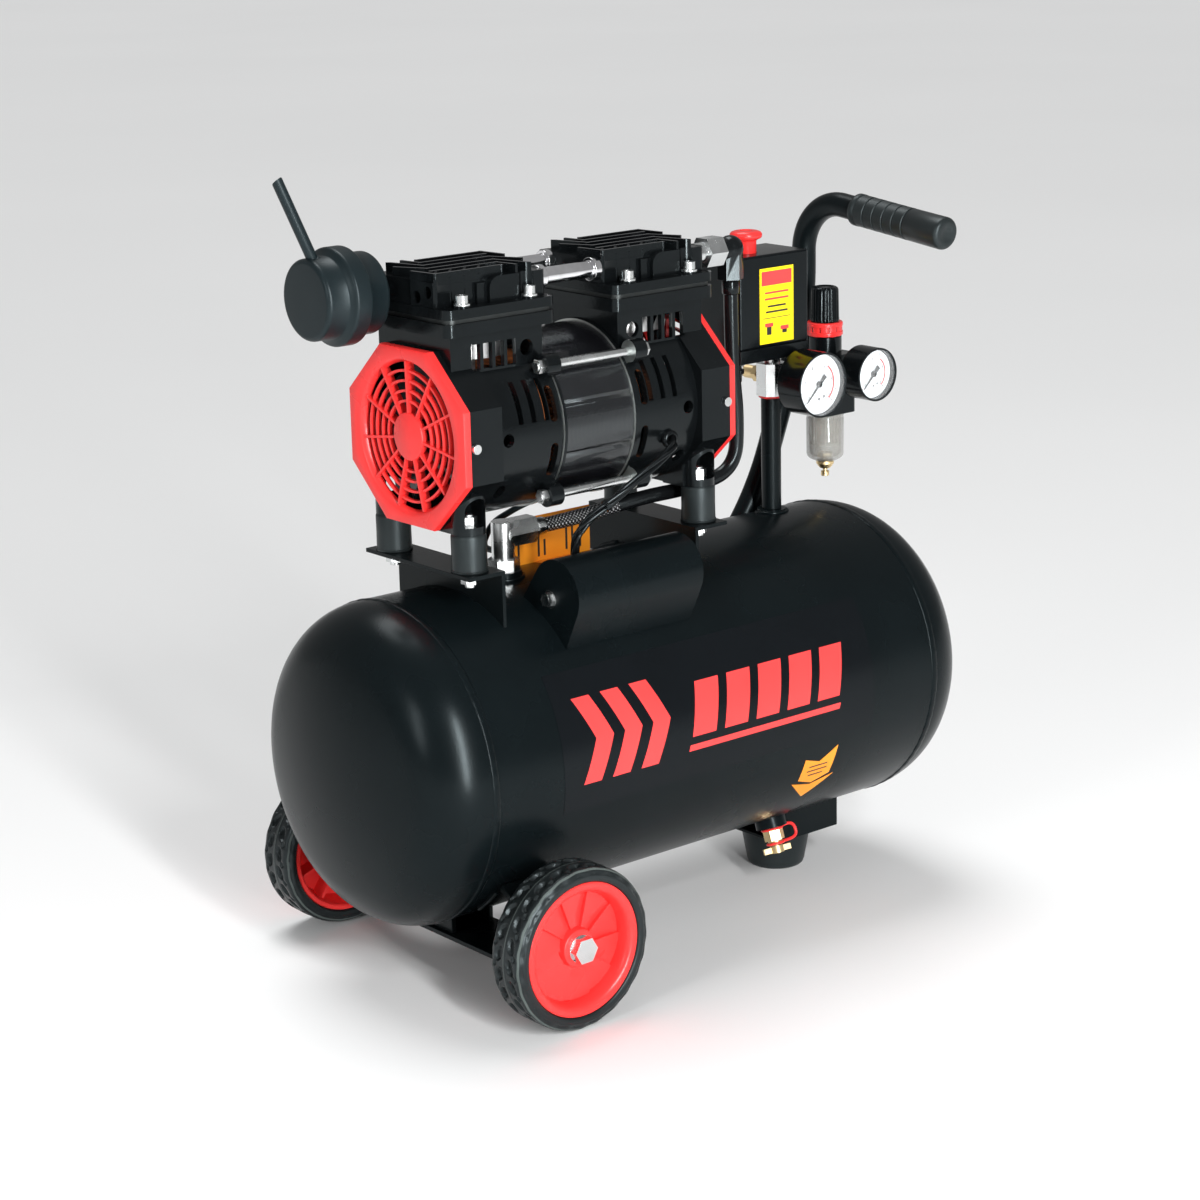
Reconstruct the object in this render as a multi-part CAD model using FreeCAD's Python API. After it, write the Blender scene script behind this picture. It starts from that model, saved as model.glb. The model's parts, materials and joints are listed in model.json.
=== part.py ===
import FreeCAD, Part
import os
from math import acos, asin, atan2, cos, degrees, hypot, pi, radians, sin, sqrt, tan

# Portable oil-free air compressor: two wobble-piston heads on one motor, one wheeled receiver.
# Frame: millimetres, X along the receiver towards the handle, -Y towards the gauges, Z up,
# origin on the floor under the middle of the receiver.

# ---- driving dimensions -------------------------------------------------------------------
TANK_R = 125.0            # receiver outer radius
TANK_Z = 178.0            # receiver axis height
TANK_WALL = 2.5
SEAM_X = 227.0            # girth seam, each way from the middle
DISH_DEPTH = 63.0         # depth of each dished end
DISH_KNUCKLE = 53.0       # knuckle radius of a dished end

WHEEL_R = 62.5
WHEEL_X = -182.0
WHEEL_OUT_Y = 166.0       # outer plane of a tyre
TYRE_W = 35.0
RIM_R = 52.0
WHEEL_BOLT_R = 6.0
RUN_GAP = 0.06            # radial clearance of a running fit

FOOT_X = 165.0
FOOT_H = 32.0

MOTOR_X = -73.0           # middle of the motor
MOTOR_Z = 424.5           # shaft height
BRACKET_Z = 328.0         # top of the motor brackets
MOUNT_H = 28.0            # rubber mount height
MOUNT_DX = 113.0          # rubber mounts, each way from the motor's middle
MOUNT_DY = 47.0
BARREL_R = 66.0
BELL_IN_R = 61.0
OCT_Z = 66.5              # half the octagon's height
OCT_Y = 71.0              # half the octagon's width
BELL_OUT = 126.0          # octagon face of a crankcase, from the motor's middle
BELL_IN = 36.0            # inner face of a crankcase, from the motor's middle
OCT_END = 97.0            # where the octagon ends and the barrel starts
HEAD_DX = 78.5            # cylinder axis, from the motor's middle
BORE_R = 30.0
LINER_R = 33.0
THROW = 9.0               # crank throw, half the stroke
DECK_Z = 512.5            # top of the crankcase deck
DECK_T = 9.5
LINER_H = 32.0
DECK_X = 50.5             # half length of the deck
DECK_Y = 52.0             # half width of the deck
PORT_Y = 28.0             # head ports, each side of the middle
PORT_Z = 534.0
BOLT_DX = 31.0
BOLT_DY = 44.0

POST_X = 174.0            # outlet pipe
POST_Y = 12.0
LINE_Z = 417.0            # air line through manifold and regulator
REG_X = 236.0
GAUGE_Y = -50.0           # front plane of both gauges
SWITCH_X = (117.0, 192.0)
SWITCH_Y = (-14.0, 36.0)
SWITCH_Z = (447.0, 522.0)
KNOB_X, KNOB_Y = 143.0, 7.0

HANDLE_Y = 44.0
HANDLE_X = 243.0
HANDLE_R = 10.0
GRIP_R = 13.3

DRAIN_X = 118.0
DRAIN_TILT = 20.0         # degrees from straight down, towards -Y
CHECK_X = -118.0

X, Y, Z = FreeCAD.Vector(1, 0, 0), FreeCAD.Vector(0, 1, 0), FreeCAD.Vector(0, 0, 1)
V = FreeCAD.Vector
NODES = {}


# ---- small helpers ------------------------------------------------------------------------
def box(x, y, z):
    """Box from three (low, high) pairs."""
    return Part.makeBox(x[1] - x[0], y[1] - y[0], z[1] - z[0], V(x[0], y[0], z[0]))


def rod(start, axis, radius, length):
    return Part.makeCylinder(radius, length, V(*start), V(axis))


def ring(start, axis, outer, inner, length):
    """Tube with its bore cut right through."""
    unit = V(axis).normalize()
    bore = Part.makeCylinder(inner, length + 2, V(*start) - unit, unit)
    return rod(start, axis, outer, length).cut(bore)


def hexagon(start, axis, flats, length):
    """Hexagonal prism, flats is the size across flats."""
    unit = V(axis).normalize()
    side = unit.cross(Z if abs(unit.z) < 0.9 else X).normalize()
    other = unit.cross(side)
    corner = flats / sqrt(3)
    points = [V(*start) + side * (corner * cos(k * pi / 3)) + other * (corner * sin(k * pi / 3))
              for k in range(7)]
    return Part.Face(Part.makePolygon(points)).extrude(unit * length)


def prism_x(points, low, high):
    """Outline of (y, z) points, extruded along X."""
    corners = [V(low, y, z) for y, z in points]
    return Part.Face(Part.makePolygon(corners + corners[:1])).extrude(V(high - low, 0, 0))


def turned(points, base, axis):
    """Outline of (distance along axis, radius) points, turned about the axis."""
    unit = V(axis).normalize()
    side = unit.cross(Z if abs(unit.z) < 0.9 else X).normalize()
    corners = [V(*base) + unit * a + side * r for a, r in points]
    return Part.Face(Part.makePolygon(corners + corners[:1])).revolve(V(*base), unit, 360)


def fuse(shapes):
    result = shapes[0]
    for shape in shapes[1:]:
        result = result.fuse(shape)
    return result.removeSplitter()


def cut(shape, tools):
    for tool in tools:
        shape = shape.cut(tool)
    return shape


def mirrored(shape):
    """The same piece for the other end of the motor."""
    return shape.mirror(V(MOTOR_X, 0, 0), X)


def both_ends(shape):
    return [shape, mirrored(shape)]


def route(points):
    """Straight runs joined by tangent arcs; returns the wire, its length and its radii."""
    pts = [V(*p) for p in points]
    edges, radii, start = [], [], pts[0]
    for before, here, after in zip(pts, pts[1:], pts[2:]):
        d_in, d_out = (here - before), (after - here)
        run = min(d_in.Length, d_out.Length)
        d_in.normalize()
        d_out.normalize()
        half = acos(max(-1.0, min(1.0, d_in.dot(d_out)))) / 2
        radius = 0.45 * run / tan(half)
        back = radius * tan(half)
        p_in, p_out = here - d_in * back, here + d_out * back
        inward = (d_out - d_in).normalize()
        centre = here + inward * (radius / cos(half))
        middle = centre - inward * radius
        edges += [Part.LineSegment(start, p_in).toShape(), Part.Arc(p_in, middle, p_out).toShape()]
        radii.append(radius)
        start = p_out
    edges.append(Part.LineSegment(start, pts[-1]).toShape())
    wire = Part.Wire(edges)
    return wire, wire.Length, radii


def hose(points, outer, inner=0.0, name=""):
    """Round tube along a route, solid when inner is 0."""
    wire, length, radii = route(points)
    direction = (V(*points[1]) - V(*points[0])).normalize()

    def sweep(radius):
        profile = Part.Wire(Part.makeCircle(radius, V(*points[0]), direction))
        return wire.makePipeShell([profile], True, False)

    solid = sweep(outer)
    if name:
        text = ", ".join("%.1f" % r for r in radii)
        ratio = solid.Volume / (pi * outer * outer * length)
        print("%s: length %.1f, bend radii %s, volume ratio %.4f" % (name, length, text, ratio))
    return solid.cut(sweep(inner)) if inner else solid


def node(name, shapes):
    """Keep a sub-part: one solid or a list of separate solids."""
    shapes = shapes if isinstance(shapes, list) else [shapes]
    solids = [solid for shape in shapes for solid in shape.Solids]
    NODES[name] = solids[0] if len(solids) == 1 else Part.makeCompound(solids)


def tank_core(extra=0.0):
    """Solid cylinder of the receiver, for trimming what is welded to it."""
    return rod((-SEAM_X - 60, 0, TANK_Z), X, TANK_R + extra, 2 * SEAM_X + 120)


def tank_z(y, extra=0.0):
    """Height of the receiver's upper surface at a given y."""
    return TANK_Z + sqrt((TANK_R + extra) ** 2 - y * y)


def drain_axis():
    tilt = radians(DRAIN_TILT)
    return V(0, -sin(tilt), -cos(tilt))


def drain_point(distance):
    """Point on the drain's axis at a distance from the receiver's axis."""
    return V(DRAIN_X, 0, TANK_Z) + drain_axis() * distance


# ---- receiver -----------------------------------------------------------------------------
def dish_profile(offset):
    """Knuckle and crown arcs of a dished end as (x, r) points, offset inwards."""
    knuckle = DISH_KNUCKLE
    flat_r = TANK_R - knuckle
    crown = (DISH_DEPTH ** 2 - knuckle ** 2 + flat_r ** 2) / (2 * (DISH_DEPTH - knuckle))
    turn = asin(flat_r / (crown - knuckle))
    k, c = knuckle - offset, crown - offset
    knuckle_mid = (pi / 2 - turn) / 2
    start = (0.0, flat_r + k)
    mid = (k * sin(knuckle_mid), flat_r + k * cos(knuckle_mid))
    joint = (k * cos(turn), flat_r + k * sin(turn))
    crown_x = DISH_DEPTH - crown
    half = (crown_x + c * cos(turn / 2), c * sin(turn / 2))
    top = (crown_x + c, 0.0)
    return start, mid, joint, half, top


def dished_end():
    """Torispherical end for the +X side."""
    def point(p):
        return V(SEAM_X + p[0], 0, TANK_Z + p[1])
    outer = [point(p) for p in dish_profile(0.0)]
    inner = [point(p) for p in dish_profile(TANK_WALL)]
    edges = [
        Part.Arc(outer[0], outer[1], outer[2]).toShape(),
        Part.Arc(outer[2], outer[3], outer[4]).toShape(),
        Part.LineSegment(outer[4], inner[4]).toShape(),
        Part.Arc(inner[4], inner[3], inner[2]).toShape(),
        Part.Arc(inner[2], inner[1], inner[0]).toShape(),
        Part.LineSegment(inner[0], outer[0]).toShape(),
    ]
    return Part.Face(Part.Wire(edges)).revolve(V(0, 0, TANK_Z), X, 360)


def receiver():
    shell = ring((-SEAM_X, 0, TANK_Z), X, TANK_R, TANK_R - TANK_WALL, 2 * SEAM_X)
    ports = [rod((CHECK_X, 0, TANK_Z + 100), Z, 6, 40), rod((POST_X, POST_Y, TANK_Z + 100), Z, 6, 40),
             rod(tuple(drain_point(100)), drain_axis(), 6, 40)]
    node("tank_shell", cut(shell, ports))
    end = dished_end()
    node("tank_ends", [end, end.mirror(V(0, 0, 0), X)])
    core = tank_core()
    check_boss = ring((CHECK_X, 0, tank_z(0) - 6), Z, 14, 6, 11).cut(core)
    post_boss = ring((POST_X, POST_Y, tank_z(POST_Y) - 6), Z, 12, 6, 9).cut(core)
    drain_boss = ring(tuple(drain_point(TANK_R - 4)), drain_axis(), 13, 5, 12).cut(core)
    node("tank_bosses", [check_boss, post_boss, drain_boss])


def drain():
    """Brass cock screwed in the drain boss, with a wing screw that closes it."""
    axis = drain_axis()
    seat = TANK_R + 8
    body = fuse([hexagon(tuple(drain_point(seat)), axis, 15, 11),
                 rod(tuple(drain_point(seat + 11)), axis, 6.0, 4),
                 rod(tuple(drain_point(seat - 8)), axis, 4.9, 8)])
    stem_r = 3.0
    thread_gap = 0.3
    body = body.cut(rod(tuple(drain_point(seat - 9)), axis, stem_r + thread_gap, 30))
    node("drain_valve_body", body)
    stem = rod(tuple(drain_point(seat + 1)), axis, stem_r, 18)
    boss = rod(tuple(drain_point(seat + 15.6)), axis, 5.5, 6)
    across = V(X) * 0.94 + axis.cross(X) * 0.34
    across.normalize()
    flat = axis.cross(across) * 1.5
    centre = drain_point(seat + 16.4)
    corners = [centre + across * (a * 12) + flat * b for a, b in ((-1, -1), (1, -1), (1, 1), (-1, 1), (-1, -1))]
    wings = Part.Face(Part.makePolygon(corners)).extrude(axis * 4.6)
    node("drain_wing_screw", fuse([stem, boss, wings]))


# ---- wheels, foot, brackets -----------------------------------------------------------------
def wheel(side, name):
    """Spoked plastic rim and rubber tyre; side is -1 for the near wheel, +1 for the far one."""
    centre_y = side * WHEEL_OUT_Y
    inward = V(0, -side, 0)

    def profile(points):
        return turned(points, (WHEEL_X, centre_y, WHEEL_R), inward)

    rim = profile([(2, RIM_R - 3), (2, RIM_R), (TYRE_W - 2, RIM_R), (TYRE_W - 2, RIM_R - 3),
                   (20, RIM_R - 5), (20, 16), (34, 16), (34, WHEEL_BOLT_R + RUN_GAP),
                   (7, WHEEL_BOLT_R + RUN_GAP), (7, 15), (12, 17), (16.5, 40), (14, RIM_R - 6)])
    ribs = []
    count = 10
    for k in range(count):
        low, high = sorted((centre_y - side * 10.5, centre_y - side * 18))
        rib = box((WHEEL_X + 15, WHEEL_X + 46), (low, high), (WHEEL_R - 1.2, WHEEL_R + 1.2))
        rib.rotate(V(WHEEL_X, 0, WHEEL_R), Y, 360.0 * k / count)
        ribs.append(rib)
    node("wheel_rim_" + name, fuse([rim] + ribs))
    tyre = profile([(2, RIM_R), (1, RIM_R + 2), (0, WHEEL_R - 5), (2, WHEEL_R - 1.5), (6, WHEEL_R),
                    (TYRE_W - 6, WHEEL_R), (TYRE_W - 2, WHEEL_R - 1.5), (TYRE_W, WHEEL_R - 5),
                    (TYRE_W - 1, RIM_R + 2), (TYRE_W - 2, RIM_R)])
    node("tyre_" + name, tyre)


def wheel_bolt(side):
    """Shoulder bolt with a hexagon head outside and a nut inside the bracket ear."""
    start_y = side * (WHEEL_OUT_Y - 6.5)
    inward = V(0, -side, 0)
    washer = rod((WHEEL_X, start_y, WHEEL_R), V(0, side, 0), 10.5, 1.5)
    head = hexagon((WHEEL_X, start_y + side * 1.5, WHEEL_R), V(0, side, 0), 18, 7)
    shank = rod((WHEEL_X, start_y, WHEEL_R), inward, WHEEL_BOLT_R, 46)
    nut = hexagon((WHEEL_X, side * (EAR_Y - EAR_T), WHEEL_R), inward, 18, 7)
    return fuse([washer, head, shank, nut])


EAR_Y = WHEEL_OUT_Y - TYRE_W - 1.5        # outer face of an axle ear
EAR_T = 4.0
AXLE_X = (WHEEL_X - 24, WHEEL_X + 24)
AXLE_Z = 38.0


def underside_brackets():
    """Axle channel under the -X end and the foot's box bracket under the +X end."""
    top_y, top_z = 99.0, 101.0
    outline = [(-top_y, top_z), (-EAR_Y, 84), (-EAR_Y, AXLE_Z), (EAR_Y, AXLE_Z), (EAR_Y, 84), (top_y, top_z)]
    ear_in = EAR_Y - EAR_T
    inner = [(top_y - 3, top_z - 4), (ear_in, 81.5), (ear_in, AXLE_Z + EAR_T),
             (-ear_in, AXLE_Z + EAR_T), (-ear_in, 81.5), (-top_y + 3, top_z - 4)]
    channel = prism_x(outline + inner, *AXLE_X)
    saddle = box((AXLE_X[0] + 4, AXLE_X[1] - 4), (-30, 30), (AXLE_Z + EAR_T, 70))
    saddle = saddle.cut(box((AXLE_X[0] + 8, AXLE_X[1] - 8), (-40, 40), (0, 80)))
    channel = fuse([channel, saddle]).cut(tank_core())
    holes = [rod((WHEEL_X, -EAR_Y - 5, WHEEL_R), Y, WHEEL_BOLT_R, 2 * EAR_Y + 10)]
    channel = cut(channel, holes)

    along = (FOOT_X - 33, FOOT_X + 38)
    plate = box(along, (-36, 36), (FOOT_H, FOOT_H + 3))
    flanges = [box(along, (y, y + 3), (FOOT_H, 75)) for y in (-36, 33)]
    foot = fuse([plate] + flanges).cut(tank_core())
    foot = foot.cut(rod((FOOT_X, 0, FOOT_H - 1), Z, 4, 6))
    node("underside_brackets", [channel, foot])


def rubber_foot():
    body = turned([(0, 0), (0, 22), (2, 24), (FOOT_H, 29), (FOOT_H, 0)], (FOOT_X, 0, 0), Z)
    body = cut(body, [rod((FOOT_X, 0, 6), Z, 4, FOOT_H), rod((FOOT_X, 0, -1), Z, 9, 12)])
    node("rubber_foot", body)


def motor_bracket():
    """Pressed angle: flange under the rubber mounts and a web that saddles the receiver."""
    low = MOTOR_X - 127
    flange = box((low, low + 33), (-65, 65), (BRACKET_Z - 3, BRACKET_Z))
    web = box((low + 30, low + 33), (-65, 65), (TANK_Z + 100, BRACKET_Z - 3))
    angle = fuse([flange, web]).cut(tank_core())
    holes = [rod((MOTOR_X - MOUNT_DX, y, BRACKET_Z - 5), Z, 4, 8) for y in (-MOUNT_DY, MOUNT_DY)]
    return cut(angle, holes)


# ---- motor and crankcases -------------------------------------------------------------------
def octagon(low, high, inset=0.0):
    """Octagonal prism of the fan end, about the shaft."""
    half_y, half_z = OCT_Y - inset, OCT_Z - inset
    cy, cz = half_y * tan(pi / 8), half_z * tan(pi / 8)
    points = [(cy, half_z), (half_y, cz), (half_y, -cz), (cy, -half_z),
              (-cy, -half_z), (-half_y, -cz), (-half_y, cz), (-cy, half_z)]
    return prism_x([(y, MOTOR_Z + z) for y, z in points], low, high)


TIE_Y, TIE_Z = 57.0, 49.0
TIE_R = 3.5
WALL_X = 55.0             # outer face of the bearing wall, from the motor's middle
WALL_T = 6.0
SHAFT_R = 8.5
BEARING_R = 17.5


def crankcase():
    """Cast crankcase of the -X end: fan housing, crank chamber, cylinder deck and feet."""
    face = MOTOR_X - BELL_OUT
    inner = MOTOR_X - BELL_IN
    neck = MOTOR_X - OCT_END
    axis_x = MOTOR_X - HEAD_DX
    solids = [
        octagon(face, neck),
        rod((neck - 3, 0, MOTOR_Z), X, BARREL_R, inner - neck + 3),
        box((axis_x - 43, axis_x + 42), (-44, 44), (MOTOR_Z + 15, DECK_Z - DECK_T)),
        rounded_plate(axis_x, DECK_X, DECK_Y, DECK_Z - DECK_T, DECK_T),
    ]
    for y in (-TIE_Y, TIE_Y):
        for z in (MOTOR_Z - TIE_Z, MOTOR_Z + TIE_Z):
            solids.append(rod((inner - 12, y, z), X, 8.5, 12))
            near = 0.72
            rib = Part.makeBox(12, 12, hypot(y, TIE_Z) * (1 - near), V(inner - 12, -6, 0))
            rib.rotate(V(0, 0, 0), X, degrees(atan2(-y, z - MOTOR_Z)))
            rib.translate(V(0, y * near, MOTOR_Z + (z - MOTOR_Z) * near))
            solids.append(rib)
    for y in (-MOUNT_DY, MOUNT_DY):
        foot_z = BRACKET_Z + MOUNT_H + 1
        x = MOTOR_X - MOUNT_DX
        solids.append(rod((x, y, foot_z), Z, 13, 34))
        solids.append(box((x - 12, neck), (min(y, y / 2), max(y, y / 2)), (foot_z, MOTOR_Z - 30)))
    body = fuse(solids)
    tools = [
        rod((face - 1, 0, MOTOR_Z), X, 62, neck - face - 3),
        rod((neck - 5, 0, MOTOR_Z), X, BELL_IN_R, MOTOR_X - WALL_X - WALL_T - neck + 5),
        rod((MOTOR_X - WALL_X, 0, MOTOR_Z), X, BELL_IN_R, WALL_X),
        rod((MOTOR_X - 100, 0, MOTOR_Z), X, BEARING_R, 60),
        box((axis_x - 39, axis_x + 38), (-40, 40), (MOTOR_Z + 10, DECK_Z - DECK_T - 4)),
        rod((axis_x, 0, DECK_Z - 25), Z, LINER_R, 30),
    ]
    tools += crankcase_openings(axis_x)
    for y in (-TIE_Y, TIE_Y):
        for z in (MOTOR_Z - TIE_Z, MOTOR_Z + TIE_Z):
            tools.append(rod((inner - 20, y, z), X, TIE_R, 30))
    for y in (-MOUNT_DY, MOUNT_DY):
        x = MOTOR_X - MOUNT_DX
        tools.append(rod((x, y, BRACKET_Z), Z, 4, MOUNT_H + 12))
        pocket = fuse([box((x - 9.5, x + 9.5), (0, 30), (BRACKET_Z + MOUNT_H + 7, BRACKET_Z + MOUNT_H + 19)),
                       rod((x, 0, BRACKET_Z + MOUNT_H + 19), Y, 9.5, 30)])
        pocket.translate(V(0, y - 8.5 if y > 0 else y - 21.5, 0))
        tools.append(pocket)
    return cut(body, tools)


RIM_SLOT = (8.0, 34.0)    # slots through the inner rim, above and below the shaft


def crankcase_openings(axis_x):
    """Cooling slots, inspection holes and the windows beside the cylinder."""
    tools = []
    for k in range(3):
        tools.append(box((axis_x + 1.5 + 12 * k, axis_x + 6 + 12 * k), (-80, 80), (MOTOR_Z + 10, MOTOR_Z + 40)))
    tools.append(rod((axis_x - 9, -80, MOTOR_Z), Y, 5, 160))
    tools.append(rod((axis_x - 9, -80, MOTOR_Z - 40), Y, 5, 160))
    for k in range(4):
        low = axis_x - 24 + 11 * k
        tools.append(box((low, low + 8), (-60, 60), (DECK_Z - 37, DECK_Z - 18)))
    tools.append(rod((axis_x + 27, -60, DECK_Z - 26), Y, 6, 120))
    slot_x = MOTOR_X - BELL_IN - 8
    for low, high in ((RIM_SLOT[0], RIM_SLOT[1]), (-RIM_SLOT[1], -RIM_SLOT[0])):
        tools.append(box((slot_x - 3.5, slot_x + 3.5), (-80, 80), (MOTOR_Z + low + 3.5, MOTOR_Z + high - 3.5)))
        tools += [rod((slot_x, -80, MOTOR_Z + z), Y, 3.5, 160) for z in (low + 3.5, high - 3.5)]
    return tools


def rounded_plate(x, half_x, half_y, z, thick, corner=7.0):
    plate = box((x - half_x, x + half_x), (-half_y, half_y), (z, z + thick))
    edges = [e for e in plate.Edges if abs(e.Length - thick) < 1e-6
             and abs(e.Vertexes[0].Z - e.Vertexes[1].Z) > thick / 2]
    return plate.makeFillet(corner, edges)


SPOKES = 11


def fan_cover():
    """Octagonal grille with a hub, four rings and deep thin spokes."""
    face = MOTOR_X - BELL_OUT - 6
    frame = octagon(face, face + 6).cut(rod((face - 1, 0, MOTOR_Z), X, 57, 8))
    rings = [ring((face + 3, 0, MOTOR_Z), X, r + 1, r - 1, 3.2) for r in (26.5, 34, 41.5, 49)]
    hub = rod((face + 1.5, 0, MOTOR_Z), X, 18, 5)
    spokes = []
    for k in range(SPOKES):
        spoke = box((face + 1.8, face + 8.5), (-0.9, 0.9), (MOTOR_Z + 16, MOTOR_Z + 57.5))
        spoke.rotate(V(0, 0, MOTOR_Z), X, 360.0 * k / SPOKES)
        spokes.append(spoke)
    return fuse([frame, hub] + rings + spokes)


def motor():
    case = crankcase()
    node("crankcases", both_ends(case))
    node("fan_covers", both_ends(fan_cover()))
    gasket = ring((MOTOR_X - BELL_IN, 0, MOTOR_Z), X, BARREL_R + 1.5, BELL_IN_R, 3)
    node("crankcase_gaskets", both_ends(gasket))
    core_half = BELL_IN - 3
    node("stator_core", ring((MOTOR_X - core_half, 0, MOTOR_Z), X, BARREL_R, 40, 2 * core_half))
    winding = ring((MOTOR_X - WALL_X + 3, 0, MOTOR_Z), X, 54, 42, WALL_X - core_half - 3)
    node("stator_windings", both_ends(winding))
    bearing = ring((MOTOR_X - WALL_X - WALL_T, 0, MOTOR_Z), X, BEARING_R, SHAFT_R + RUN_GAP, WALL_T)
    node("shaft_bearings", both_ends(bearing))
    rods = []
    half = BELL_IN + 18
    for y in (-TIE_Y, TIE_Y):
        for z in (MOTOR_Z - TIE_Z, MOTOR_Z + TIE_Z):
            stud = rod((MOTOR_X - half, y, z), X, TIE_R, 2 * half)
            nuts = [hexagon((MOTOR_X - BELL_IN - 12, y, z), V(-1, 0, 0), 10, 5),
                    hexagon((MOTOR_X + BELL_IN + 12, y, z), X, 10, 5)]
            rods.append(fuse([stud] + nuts))
    node("tie_rods", rods)


def rotating_group():
    """Shaft with two crank pins half a turn apart, rotor and fans."""
    end = BELL_OUT - 6
    shaft = rod((MOTOR_X - end, 0, MOTOR_Z), X, SHAFT_R, 2 * end)
    pins = [rod((MOTOR_X + s * HEAD_DX - 7, 0, MOTOR_Z + s * THROW), X, 11, 14) for s in (-1, 1)]
    weights = []
    for s in (-1, 1):
        x = MOTOR_X + s * (HEAD_DX - 14)
        disc = rod((x - 3, 0, MOTOR_Z), X, 30, 6)
        half = box((x - 4, x + 4), (-40, 40), sorted((MOTOR_Z - s * 8, MOTOR_Z - s * 40)))
        weights.append(fuse([disc.common(half), rod((x - 3, 0, MOTOR_Z), X, 12, 6)]))
    node("shaft", fuse([shaft] + pins + weights))
    rotor_half = BELL_IN - 3
    node("rotor_core", ring((MOTOR_X - rotor_half, 0, MOTOR_Z), X, 39.4, SHAFT_R, 2 * rotor_half))
    node("cooling_fans", both_ends(fan()))


def fan():
    """Seven-bladed fan on the shaft end."""
    x = MOTOR_X - BELL_OUT + 8
    hub = ring((x, 0, MOTOR_Z), X, 16, SHAFT_R, 14)
    blades = []
    for k in range(7):
        blade = box((x + 5.5, x + 8), (-13, 13), (MOTOR_Z + 14, MOTOR_Z + 53))
        blade.rotate(V(x + 6.5, 0, MOTOR_Z), Z, 28)
        blade.rotate(V(0, 0, MOTOR_Z), X, 360.0 * k / 7)
        blades.append(blade)
    limit = rod((x - 2, 0, MOTOR_Z), X, 57, 19)
    return fuse([hub] + blades).common(limit)


def piston(side, name):
    """Wobble piston: cup, stem and big end; the crank pin has room to turn inside the big end."""
    x = MOTOR_X + side * HEAD_DX
    pin_z = MOTOR_Z + side * THROW
    top = pin_z + DECK_Z - MOTOR_Z - THROW - 1.0
    room = 11 + 2 * THROW + 0.6
    big_end = rod((x - 6, 0, pin_z), X, room + 4, 12)
    stem = box((x - 6, x + 6), (-9, 9), (pin_z + 10, top - 5))
    cup = rod((x, 0, top - 8), Z, BORE_R - 0.35, 8)
    body = fuse([big_end, stem, cup]).cut(rod((x - 9, 0, pin_z), X, room, 18))
    node(name, body)


# ---- cylinders and heads --------------------------------------------------------------------
VALVE_T = 3.5
FLANGE_T = 7.0
HEAD_Z = DECK_Z + VALVE_T
HEAD_PORT = 49.5          # end face of a port boss, from the cylinder axis


def cylinder_tops():
    x = MOTOR_X - HEAD_DX
    liner = ring((x, 0, DECK_Z - LINER_H), Z, LINER_R, BORE_R, LINER_H)
    node("cylinders", both_ends(liner))
    plate = rounded_plate(x, DECK_X - 2, DECK_Y - 2, DECK_Z, VALVE_T)
    holes = [rod((x, y, DECK_Z - 1), Z, 5, 6) for y in (-12, 12)]
    holes += [rod((x + dx, dy, DECK_Z - 1), Z, 3, 6) for dx in (-BOLT_DX, BOLT_DX) for dy in (-BOLT_DY, BOLT_DY)]
    node("valve_plates", both_ends(cut(plate, holes)))
    front_head = cylinder_head(x)
    rear_head = front_head.copy()
    rear_head.translate(V(2 * HEAD_DX, 0, 0))
    node("cylinder_heads", [front_head, rear_head])


HEAD_HALF = 49.5          # heads are this wide each side of their bore
WALL_TOP, SHOULDER_TOP, FIN_TOP = 16.5, 18.5, 25.0      # above the head's flange
# Each fin bends twice: its left end, two bends and right end, from the bore's axis.
FINS = [((-49, -8), (-46, -33), (14, -33), (14, -33)),
        ((-40, -20), (-40, -20), (20, -20), (23, -40)),
        ((-46, 18), (-34, -7), (27, -7), (36, -40))]
RIBS = 4
RIB_PITCH = 13.0


def blade(start, end, thick, bottom, tops):
    """Upright plate between two plan points, with a top that may slope from start to end."""
    p, q = V(*start, bottom), V(*end, bottom)
    side = Z.cross(q - p).normalize() * (thick / 2)
    corners = [p - side, q - side, V(*end, tops[1]) - side, V(*start, tops[0]) - side, p - side]
    return Part.Face(Part.makePolygon(corners)).extrude(side * 2)


def half_head(x, top):
    """What stands on the flange on one side of the head; the other side is the same, turned half round."""
    shoulder = box((x - 3, x + HEAD_HALF), (-41, 0), (top, top + SHOULDER_TOP))
    corner = [e for e in shoulder.Edges if abs(e.Length - 41) < 0.1 and e.CenterOfMass.x < x
              and e.CenterOfMass.z > top + 1]
    upright = [e for e in shoulder.Edges if abs(e.Length - SHOULDER_TOP) < 0.1
               and e.CenterOfMass.y < -40 and e.CenterOfMass.x > x]
    solids = [shoulder.makeFillet(9, corner).makeFillet(4, upright),
              box((x - HEAD_HALF, x + 10), (-34.5, 0), (top, top + WALL_TOP)),
              box((x + 20, x + HEAD_HALF), (-34, 34), (top, top + SHOULDER_TOP)),
              box((x - 12, x), (-37.5, -30), (top, top + WALL_TOP - 2))]
    for left, first, second, right in FINS:
        for start, end in ((left, first), (first, second), (second, right)):
            if start != end:
                points = [(x + start[0], start[1]), (x + end[0], end[1])]
                solids.append(blade(*points, 2.4, top, (top + FIN_TOP, top + FIN_TOP)))
        for bend in (first, second):
            solids.append(rod((x + bend[0], bend[1], top), Z, 1.7, FIN_TOP))
    for k in range(RIBS):
        rib_x = x - 47.5 + RIB_PITCH * k
        solids.append(blade((rib_x, -34.4), (rib_x + 12, -20), 2.0, top, (top + FIN_TOP - 4, top + FIN_TOP)))
    return fuse(solids)


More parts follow.
